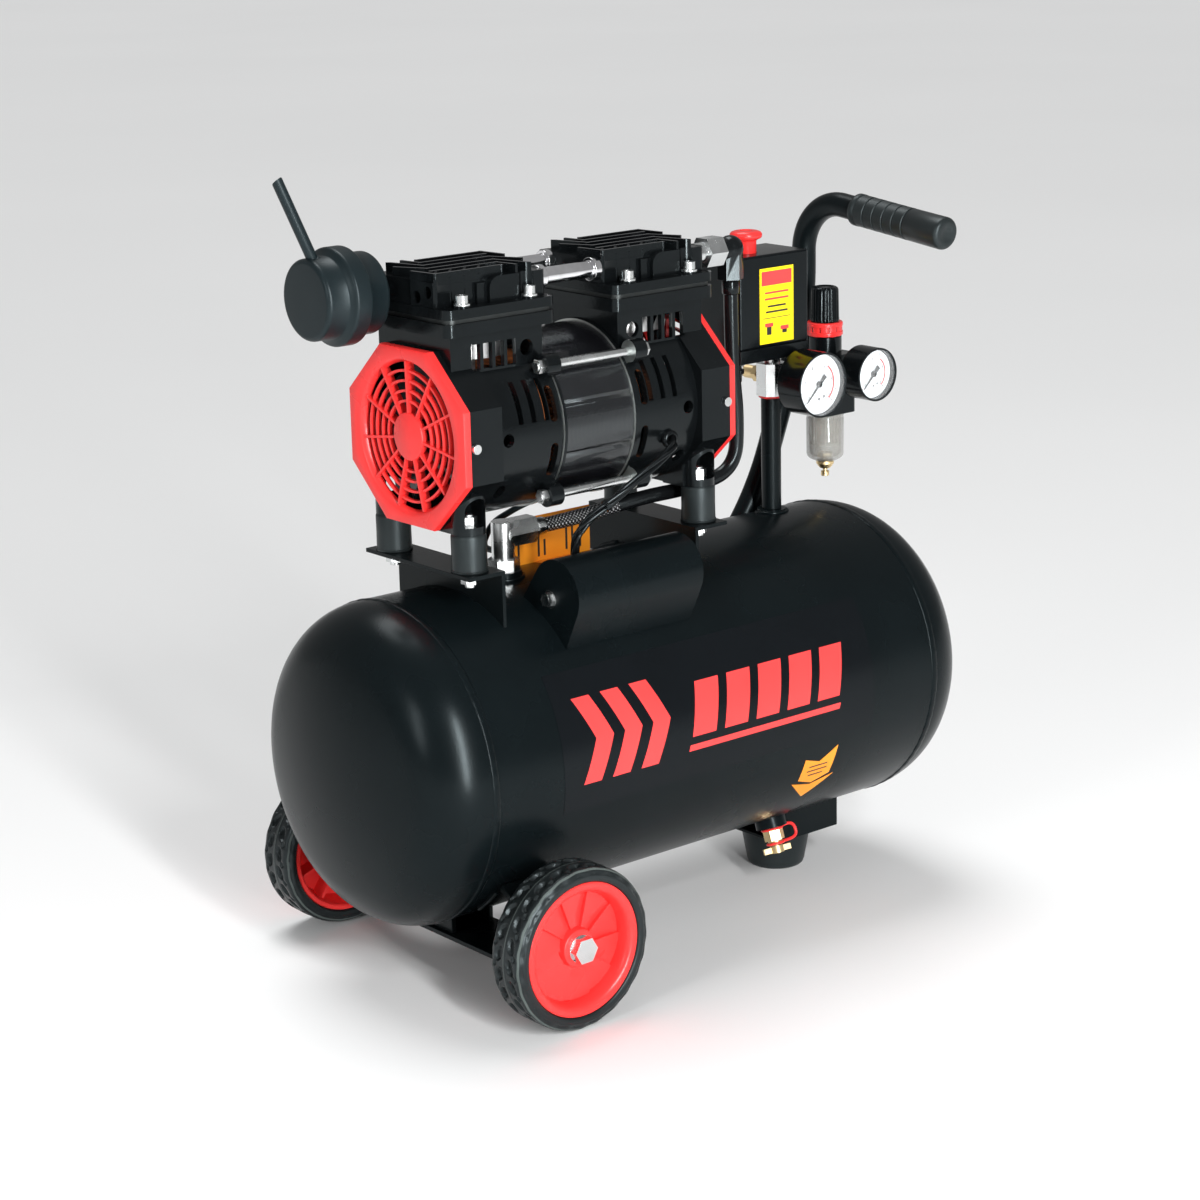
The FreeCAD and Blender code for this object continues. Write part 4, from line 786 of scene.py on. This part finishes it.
def silencer():
    """Moulded intake drum in three steps with rounded shoulders."""
    low, high = box_mm("intake_silencer")
    y, z = (low.y + high.y) / 2, (low.z + high.z) / 2
    end = high.x
    profile = [(0, 6.3), (10.4, 6.3), (10.5, 24)] + arc((14.0, 27.0), 3.5, 180, 90, 6)
    profile += [(28.0, 30.7)] + arc((32.5, 34.0), 2.5, 180, 90, 6)
    profile += arc((42.5, 33.6), 2.9, 90, 20, 6) + [(47.1, 31.2), (48.1, 30.4)]
    profile += arc((61.5, 26.2), 4.0, 88, 0, 8) + [(65.5, 8.0)]
    shape = Shape().turned(profile, (end, y, z), -X, 128)
    piece("intake_drum", shape, "intake_silencer", smooth=60)
    tube_low, tube_high = box_mm("intake_tube")
    foot = Vector((end - 56, y, z + 26))
    tip = Vector((tube_low.x + 3.8, y + 1, tube_high.z - 2.2))
    unit, side, other = triad(tip - foot)
    length = (tip - foot).length
    snorkel = Shape()
    loops = []
    for along, radius, slant in ((0, 4.2, 0), (length - 3, 4.2, 2.2), (length - 2.2, 3.9, 2.2),
                                 (length - 2.4, 3.2, 2.0),
                                 (length - 20, 3.0, 0)):
        loops.append([foot + side * (radius * cos(t)) + other * (radius * sin(t)) + unit * (along
                      - slant * cos(t))
                      for t in (2 * pi * k / 48 for k in range(48))])
    snorkel.loft(loops)
    collar = [(-1, 6.2), (2.2, 6.0), (3.6, 5.2), (4.0, 4.2), (-1, 4.2)]
    snorkel.turned(collar, foot, unit, 48, wrap=True)
    piece("intake_snorkel", snorkel, "intake_tube", smooth=50)


# ---- air line -------------------------------------------------------------------------------
HOSE_ROUTE = [(94, -28, 510), (94, -28, 446), (100, -28, 400), (98, -27, 357), (56, -24, 348),
              (2, -18, 347), (-42, 0, 336),
              (-90, 0, 336)]
HOSE_R = 6.0


def discharge_hose():
    line = smooth_route(HOSE_ROUTE)
    count = 24
    shape = Shape().tube(line, HOSE_R - 0.2, count)
    for i, here in enumerate(line[:-1]):
        if here.x > -12:
            shape.marks[i * count:(i + 1) * count] = [2] * count
    for start, ahead in ((line[0], line[1]), (line[-1], line[-2])):
        shape.turned([(0, HOSE_R), (0.6, HOSE_R + 0.9), (11, HOSE_R + 0.9), (12, HOSE_R), (12, 4), (0, 4)],
                     start, ahead - start, 48, 1 if start.x < 0 else 2, wrap=True)
    obj = piece("discharge_hose_shown", shape, "discharge_hose",
                (BRAID, FINISHES["zinc"], FINISHES["cable_black"]), smooth=60)
    lengths = [0.0]
    for a, b in zip(line, line[1:]):
        lengths.append(lengths[-1] + (b - a).length)
    layer = obj.data.uv_layers.new(name="weave")
    for face in obj.data.polygons:
        ring = [v for v in face.vertices if v < len(line) * count]
        for loop in face.loop_indices:
            v = obj.data.loops[loop].vertex_index
            if v < len(line) * count and len(ring) == 4:
                turn = v % count
                if turn == 0 and max(n % count for n in ring) == count - 1:
                    turn = count
                layer.data[loop].uv = (lengths[v // count] / (2 * pi * HOSE_R), turn / count)


LEAD_ROUTE = [(-4, -64, 402), (-8, -79, 401), (-34, -80, 388), (-64, -76, 370), (-88, -67, 354),
              (-97, -61, 340), (-97, -60, 324)]


def motor_leads():
    """Three jacketed leads twisted together, with a cable tie and a grommet at the crankcase."""
    line = smooth_route(LEAD_ROUTE)
    shape = Shape()
    for wire in range(3):
        path = []
        for i, here in enumerate(line):
            ahead = line[min(i + 1, len(line) - 1)] - line[max(i - 1, 0)]
            unit, side, other = triad(ahead)
            turn = 2 * pi * wire / 3 + 2.4 * pi * i / len(line)
            path.append(here + side * (2.0 * cos(turn)) + other * (2.0 * sin(turn)))
        shape.tube(path, 1.75, 16)
    middle = len(line) * 4 // 7
    along = line[middle + 1] - line[middle - 1]
    shape.turned([(0, 3.7), (0, 4.5), (3.2, 4.5), (3.2, 3.7)], line[middle], along, 32, wrap=True)
    unit, side, other = triad(along)
    shape.prism([(-1.6, -1.2), (1.6, -1.2), (1.6, 3.2), (-1.6, 3.2)],
                line[middle] + unit * 1.6 - side * 4.2, unit, -side, 2.4)
    shape.turned([(-1.5, 4.2), (-1.5, 7.0), (1.4, 7.0), (2.6, 5.6), (2.6, 4.2)],
                 line[0] + Vector((0, -1, 0)), (0, -1, 0), 32, wrap=True)
    piece("motor_leads_shown", shape, "motor_leads", smooth=50)


# ---- controls -------------------------------------------------------------------------------
def stop_knob():
    low, high = box_mm("switch_knob")
    x, y = (low.x + high.x) / 2, (low.y + high.y) / 2
    deck = SWITCH_HIGH.z
    r = (high.x - low.x) / 2
    top = high.z - deck
    profile = [(-18, 7), (-6, 7), (-6, 8.4), (9.6, 8.4)] + arc((10.6, 11.4), 1.4, 200, 115, 3)
    profile = [(-18, 7.0), (-6, 7.0), (-5.6, 8.4), (9.4, 8.4), (10.4, 9.0), (11.6, r - 1.4),
               (12.6, r - 0.4), (14.0, r),
               (15.6, r - 0.3), (16.8, r - 1.4), (17.6, r - 3.6), (17.9, r - 6), (17.2, 5.6), (17.2, 2.0)]
    shape = Shape().turned(profile, (x, y, deck), Z, 96)
    ring = [(top - 2.9, 5.0), (top - 2.3, 5.3), (top - 2.3, 6.3), (top - 2.9, 6.6)]
    shape.turned(ring, (x, y, deck), Z, 64, wrap=True)
    piece("stop_knob", shape, "switch_knob", smooth=50)


REG_LOW, REG_HIGH = box_mm("regulator_knob")
REG_X = (REG_LOW.x + REG_HIGH.x) / 2
REG_Y = (REG_LOW.y + REG_HIGH.y) / 2
FLUTES = 20


def regulator_knob():
    low, high = REG_LOW, REG_HIGH
    height = high.z - low.z
    r = (high.x - low.x) / 2 - 0.25

    def fluted(radius, turn):
        return radius - (0.55 * (0.5 + 0.5 * cos(FLUTES * turn)) ** 3 if radius > r - 1.0 else 0.0)

    profile = [(0, 6.2), (0, r - 0.6), (0.5, r), (3.0, r), (3.4, r - 0.15), (height - 3.0, r - 0.5),
               (height - 1.2, r - 1.2),
               (height - 0.3, r - 2.6), (height - 0.0, r - 4.2), (height - 0.9, r - 4.8), (height - 0.9, 2.0)]
    shape = Shape().turned(profile, (REG_X, REG_Y, low.z), Z, FLUTES * 10, radius_at=fluted)
    piece("regulator_knob_shown", shape, "regulator_knob", smooth=40)


def regulator_details():
    """Red lock ring with notches above the regulator body."""
    base = REG_LOW.z - 11.7

    def notched(radius, turn):
        return radius - (0.35 * (0.5 + 0.5 * cos(12 * turn)) ** 4 if 14.3 < radius < 14.6 else 0.0)

    ring = [(0, 12.6), (0, 14.4), (0.8, 15.0), (3.4, 15.0), (3.9, 14.5), (7.6, 14.5), (8.1, 15.0),
            (10.6, 15.0),
            (11.4, 14.3), (11.4, 11.4), (10.8, 11.4), (10.8, 12.6)]
    shape = Shape().turned(ring, (REG_X, REG_Y, base), Z, 192, wrap=True, radius_at=notched)
    piece("regulator_lock_ring", shape, "regulator_body", slot="red_plastic", replaced=(), smooth=40)
    low, high = box_mm("manifold")
    seal = Shape().turned([(0, 5.6), (0, 9.6), (0.5, 10.2), (1.5, 10.2), (1.9, 9.8), (1.9, 5.6)],
                          ((low.x + high.x) / 2, (low.y + high.y) / 2, low.z - 2.0), Z, 64, wrap=True)
    piece("post_seal", seal, "manifold", slot="red_plastic", replaced=(), smooth=40)


def filter_bowl():
    low, high = box_mm("filter_bowl")
    r = (high.x - low.x) / 2
    outer = [(0, r), (-2.6, r), (-3.0, r - 0.5), (-4.6, r - 0.5), (-5.0, r - 0.1), (-35.6, r - 0.3),
             (-37.6, r - 1.0),
             (-39.4, r - 2.8), (-40.8, r - 5.6), (-41.5, 8.6), (-41.5, 2.2)]
    inner = [(-39, 2.2), (-39, 6.0), (-37.6, 10.6), (-35.2, 12.9), (-33, 13.2), (0, r - 2.6)]
    shape = Shape().turned(outer + inner, (REG_X, REG_Y, high.z), Z, 96, wrap=True)
    piece("filter_bowl_shown", shape, "filter_bowl", smooth=50)
    brass = Shape()
    brass.turned([(-41.6, 2.2), (-41.6, 7.0), (-42.2, 7.4), (-44.6, 7.4), (-45.4, 6.4), (-46.2, 6.2),
                  (-48.3, 4.3), (-48.3, 2.2)],
                 (REG_X, REG_Y, high.z), Z, 48, wrap=True)
    brass.turned([(-38.9, 3.8), (-38.9, 6.2), (-38.2, 6.6), (-35.4, 6.6), (-34.6, 5.8), (-34.6, 3.8)],
                 (REG_X, REG_Y, high.z), Z, 6,
                 wrap=True)
    piece("bowl_valve_seat", brass, "filter_bowl", slot="brass_fitting", replaced=(), bevel=0.3)
    guard = Shape().turned([(-26.4, 10.1), (-26.4, 11.6), (-27.6, 11.9), (-28.0, 11.6), (-28.0, 10.1)],
                           (REG_X, REG_Y, high.z), Z, 48,
                           wrap=True)
    for k in range(8):
        turn = 2 * pi * k / 8
        spot = Vector((REG_X + 10.4 * cos(turn), REG_Y + 10.4 * sin(turn), high.z - 26.6))
        guard.turned([(0, 0.7), (24, 0.7)], spot, Z, 10)
    piece("filter_cage", guard, "filter_element", replaced=(), smooth=50)


# ---- gauges ---------------------------------------------------------------------------------
GAUGE_SWEEP = 270.0


def digits(shape, text, height, place, mark):
    """Upright flat numerals facing -Y, centred on a place."""
    curve = bpy.data.curves.new("digits", "FONT")
    curve.body = text
    curve.size = height
    curve.extrude = 0.04
    curve.align_x, curve.align_y = "CENTER", "CENTER"
    holder = bpy.data.objects.new("digits", curve)
    mesh = bpy.data.meshes.new_from_object(holder)
    points = [Vector(place) + Vector((v.co.x, -v.co.z, v.co.y)) for v in mesh.vertices]
    shape.add(points, [tuple(p.vertices) for p in mesh.polygons], mark)
    bpy.data.objects.remove(holder)
    bpy.data.meshes.remove(mesh)


def dial_bar(shape, centre, turn, low, high, width, mark):
    """Radial bar on a dial, turn is clockwise from straight up in degrees."""
    out = Vector((sin(radians(turn)), 0, cos(radians(turn))))
    across = out.cross(Y)
    shape.prism([(low, -width / 2), (high, -width / 2), (high, width / 2), (low, width / 2)], centre, out,
                across, 0.06, mark)


def dials():
    """Printed faces: scale marks, even numbers from 0 and a red band at the top of the scale."""
    shape = Shape()
    for name, numbers in (("tank_gauge_needle", 6), ("outlet_gauge_needle", 5)):
        x = TANK_GAUGE[0] if name.startswith("tank") else OUTLET_GAUGE[0]
        r = (TANK_GAUGE if name.startswith("tank") else OUTLET_GAUGE)[1]
        face = box_mm(name)[1].y - 0.6
        z = LINE_Z
        shape.turned([(0.0, 1.4), (0.0, r - 0.4), (0.9, r - 0.1), (0.9, 1.4)], (x, face, z), Y, 96, wrap=True)
        centre = Vector((x, face - 0.01, z))
        for k in range(51):
            long = k % 10 == 0 if numbers == 5 else k % 5 == 0
            turn = -135 + GAUGE_SWEEP * k / 50
            dial_bar(shape, centre, turn, r * (0.76 if long else 0.82), r * 0.88, 0.5 if long else 0.28, 1)
        for k in range(numbers):
            turn = radians(-135 + GAUGE_SWEEP * k / (numbers - 1))
            place = centre + Vector((sin(turn), 0, cos(turn))) * (r * 0.6)
            digits(shape, str(2 * k), 0.2 * r, place - Y * 0.02, 1)
        for k in range(24):
            dial_bar(shape, centre - Y * 0.01, 40 + 95 * k / 23, r * 0.66, r * 0.72, 0.075 * r, 2)
        for turn in (150, 176):
            hole = centre + Vector((sin(radians(turn)), 0, cos(radians(turn)))) * (r * 0.5)
            shape.turned([(-0.05, 0.3), (-0.05, 0.05 * r), (0.02, 0.05 * r), (0.02, 0.3)], hole, Y, 20, 1,
                         wrap=True)
    piece("gauge_faces", shape, "gauge_dials", (FINISHES["dial_white"], INK, DECAL_RED), smooth=40)


LENS_LOW, LENS_HIGH = box_mm("gauge_lenses")
LINE_Z = (LENS_LOW.z + LENS_HIGH.z) / 2
TANK_GAUGE = (174.0, (LENS_HIGH.z - LENS_LOW.z) / 2)
OUTLET_GAUGE = (REG_X, LENS_HIGH.x - REG_X)


def lenses():
    """Slightly domed windows."""
    shape = Shape()
    for x, r in (TANK_GAUGE, OUTLET_GAUGE):
        dome = [(0.9 - 0.9 * (1 - (k / 8) ** 2), r * k / 8) for k in range(8, 0, -1)]
        back = [(a + 1.0, b) for a, b in reversed(dome)]
        shape.turned(dome + back, (x, LENS_LOW.y - 0.6, LINE_Z), Y, 96, wrap=True)
    piece("gauge_windows", shape, "gauge_lenses", smooth=60)


# ---- handle, drain, foot --------------------------------------------------------------------
def grip():
    """Rubber grip: end flange, narrow bands and a long rounded cap."""
    low, high = box_mm("handle_grip")
    slope = radians(6.4)
    ahead = Vector((0, -cos(slope), -sin(slope)))
    r = (high.x - low.x) / 2
    x = (high.x + low.x) / 2
    start = Vector((x, high.y - r * sin(slope), high.z - r * cos(slope)))
    length = (start.y - low.y) / cos(slope) - r * sin(slope) * 0.2 - 0.6
    profile = [(0, 10.0), (0.2, r - 0.6), (0.8, r), (5.0, r), (5.8, r - 0.9)]
    bands = 5
    pitch = 11.0
    for k in range(bands):
        a = 6.4 + pitch * k
        profile += [(a, r - 1.1), (a + 0.5, r - 0.3), (a + pitch - 1.1, r - 0.2), (a + pitch - 0.6, r - 1.1)]
    a = 6.4 + pitch * bands
    profile += [(a, r - 1.1), (a + 0.8, r - 0.3), (length - 6, r - 0.1)] + [
        (length - 4 + 4 * sin(radians(t)), r - 4.1 + 4 * cos(radians(t)))
        for t in (0, 15, 30, 45, 60, 75, 90)]
    profile += [(length - 0.1, 6.0), (length - 0.5, 5.4), (length - 0.5, 1.0)]
    shape = Shape().turned(profile, start, ahead, 96)
    piece("handle_grip_shown", shape, "handle_grip", smooth=50)


def drain_details():
    """Red seal rings and the rubber strap that keeps the wing screw captive."""
    slant = radians(20)
    axis = Vector((0, -sin(slant), -cos(slant)))
    low, high = box_mm("drain_valve_body")
    x = (low.x + high.x) / 2
    centre = Vector((x, 0, TANK_Z))
    shape = Shape()
    for at, r in ((TANK_R + 8.4, 9.4), (TANK_R + 20.5, 8.0)):
        shape.turned([(0, 5.6)] + [(1.1 + 1.1 * cos(radians(t)), r - 1.0 + 1.0 * sin(radians(t)))
                                  for t in (180, 135, 90, 45, 0)]
                     + [(2.2, 5.6)], centre + axis * at, axis, 48, wrap=True)
    side = Vector((1, 0, 0))
    first, last = centre + axis * (TANK_R + 9.5), centre + axis * (TANK_R + 21.6)
    loop = [first + side * 8.6, first + side * 17 + axis * -1.5, first + side * 24 + axis * 1.0,
            last + side * 25 - axis * 2.0,
            last + side * 17 + axis * 0.5, last + side * 7.6]
    shape.tube(smooth_route(loop), 1.3, 14)
    piece("drain_strap", shape, "drain_valve_body", slot="red_plastic", replaced=(), smooth=60)


def rubber_foot():
    low, high = box_mm("rubber_foot")
    x, y, h = (low.x + high.x) / 2, (low.y + high.y) / 2, high.z
    r = (high.x - low.x) / 2
    profile = [(h, r), (h - 2, r), (4, r - 4.6), (1.2, r - 5.6), (0, r - 7), (0, 9.5), (11.5, 9.5),
               (11.5, 4.2), (h, 4.2)]
    shape = Shape().turned(profile, (x, y, 0), Z, 96, wrap=True)
    piece("rubber_foot_shown", shape, "rubber_foot", smooth=50)


def rubber_mounts():
    """Bonded mounts: straight rubber bodies with a thin full-width band at the foot, in one finish."""
    shape = Shape()
    low, high = box_mm("rubber_mounts")
    r, height = 14.0, high.z - low.z
    section = [(0, 4.2), (0, r - 0.4), (0.4, r), (1.6, r), (2.0, r - 0.5), (height / 2, r - 0.7),
               (height - 2.4, r - 0.6),
               (height - 1.2, r - 0.9), (height, r - 1.8), (height, 4.2)]
    for x in (low.x + r, high.x - r):
        for y in (low.y + r, high.y - r):
            shape.turned(section, (x, y, low.z), Z, 64, wrap=True)
    piece("rubber_mounts_shown", shape, "rubber_mounts", smooth=50)


# ---- CAD solids shown as they are, with rounded edges ----------------------------------------
ROUNDED = {
    "crankcases": 0.8, "cylinder_heads": 0.5, "valve_plates": 0.4, "cylinders": 0.4, "crankcase_gaskets": 0.2,
    "motor_brackets": 0.7, "underside_brackets": 0.7, "tank_bosses": 0.8, "capacitor_cover": 3.6,
    "capacitor": 1.0,
    "crossover_pipes": 0.5, "air_fittings": 0.6, "unloader_tube": 0.0, "outlet_pipe": 0.4, "manifold": 0.9,
    "relief_valve": 0.4, "relief_ring": 0.0, "switch_base": 1.0, "switch_cover": 0.6, "gauge_cases": 1.0,
    "regulator_body": 1.0, "regulator_spindle": 0.3, "filter_element": 0.3, "bowl_drain": 0.3,
    "handle_tube": 0.0,
    "wheel_bolts": 0.7, "screws_and_nuts": 0.5, "tie_rods": 0.4, "stator_windings": 1.5,
    "shaft_bearings": 0.3,
    "shaft": 0.4, "rotor_core": 0.4, "cooling_fans": 0.4, "piston_front": 0.5, "piston_rear": 0.5,
    "drain_valve_body": 0.5, "drain_wing_screw": 0.6, "tank_gauge_needle": 0.0, "outlet_gauge_needle": 0.0,
}


def rounded_solids():
    shown = {node: dressed(node, width) for node, width in ROUNDED.items()}
    rim_low, rim_high = box_mm("crankcase_gaskets")
    repaint(shown["crankcases"], MACHINED, lambda c, n: abs(n.x) > 0.95 and (
        abs(c.x - rim_low.x) < 0.2 or abs(c.x - rim_high.x) < 0.2))
    repaint(shown["crankcase_gaskets"], FINISHES["casting_black"], lambda c, n: abs(n.x) < 0.7)
    repaint(shown["valve_plates"], SEAL_EDGE, lambda c, n: True)
    repaint(shown["air_fittings"], FINISHES["cable_black"], lambda c, n: c.x > 81.2 and c.z > 480)


# ---- scene ----------------------------------------------------------------------------------
def camera():
    azimuth, elevation, roll = radians(39.627), radians(15.132), radians(-1.296)
    target, distance = Vector((-0.0232, 0, 0.2657)), 2.2684
    back = Vector((-sin(azimuth) * cos(elevation), -cos(azimuth) * cos(elevation), sin(elevation)))
    right = Z.cross(back).normalized()
    up = back.cross(right)
    rolled = right * cos(roll) + up * sin(roll)
    upright = up * cos(roll) - right * sin(roll)
    view = Matrix((rolled, upright, back)).transposed().to_4x4()
    view.translation = target + back * distance
    data = bpy.data.cameras.new("camera")
    data.sensor_width = 36.0
    data.lens = 86.21
    data.clip_start, data.clip_end = 0.05, 200
    obj = bpy.data.objects.new("camera", data)
    obj.matrix_world = view
    bpy.context.scene.collection.objects.link(obj)
    bpy.context.scene.camera = obj


def softbox(name, place, target, size, power):
    data = bpy.data.lights.new(name, "AREA")
    data.shape = "RECTANGLE"
    data.size, data.size_y = size
    data.energy = power
    obj = bpy.data.objects.new(name, data)
    obj.location = place
    obj.rotation_mode = "QUATERNION"
    obj.rotation_quaternion = (Vector(target) - Vector(place)).to_track_quat("-Z", "Y")
    bpy.context.scene.collection.objects.link(obj)


def studio():
    """Pale floor, dim even surroundings, a broad soft sun from above and two upright softboxes."""
    mesh = bpy.data.meshes.new("floor")
    half = 60
    mesh.from_pydata([(-half, -half, 0), (half, -half, 0), (half, half, 0), (-half, half, 0)], [],
                     [(0, 1, 2, 3)])
    mesh.materials.append(Finish("floor_paper", (0.86, 0.86, 0.86), 0.8).vary(0.7, 0.01, 0.03).mat)
    floor = bpy.data.objects.new("floor", mesh)
    bpy.context.scene.collection.objects.link(floor)
    world = bpy.data.worlds.new("studio")
    world.use_nodes = True
    world.node_tree.nodes["Background"].inputs["Color"].default_value = (1, 1, 1, 1)
    world.node_tree.nodes["Background"].inputs["Strength"].default_value = 0.30
    bpy.context.scene.world = world
    bpy.context.scene.view_settings.view_transform = "Standard"
    middle = (0, 0, 0.3)
    softbox("streak", (-0.80, -2.55, 0.95), middle, (0.20, 2.3), 118)
    softbox("side", (-2.9, -0.7, 1.3), middle, (0.5, 1.2), 16)
    data = bpy.data.lights.new("sky", "SUN")
    data.energy = 1.65
    data.angle = radians(32)
    sky = bpy.data.objects.new("sky", data)
    sky.rotation_mode = "QUATERNION"
    sky.rotation_quaternion = Vector((-0.10, -0.38, -0.92)).to_track_quat("-Z", "Y")
    bpy.context.scene.collection.objects.link(sky)

camera()
studio()
receiver()
bracket_welds()
receiver_labels()
for side, name in ((-1, "left"), (1, "right")):
    tyre(side, name)
    rim(side, name)
fan_cover(-1, "front")
fan_cover(1, "rear")
stator()
silencer()
discharge_hose()
motor_leads()
stop_knob()
regulator_knob()
regulator_details()
filter_bowl()
dials()
lenses()
grip()
drain_details()
rubber_foot()
rubber_mounts()
rounded_solids()
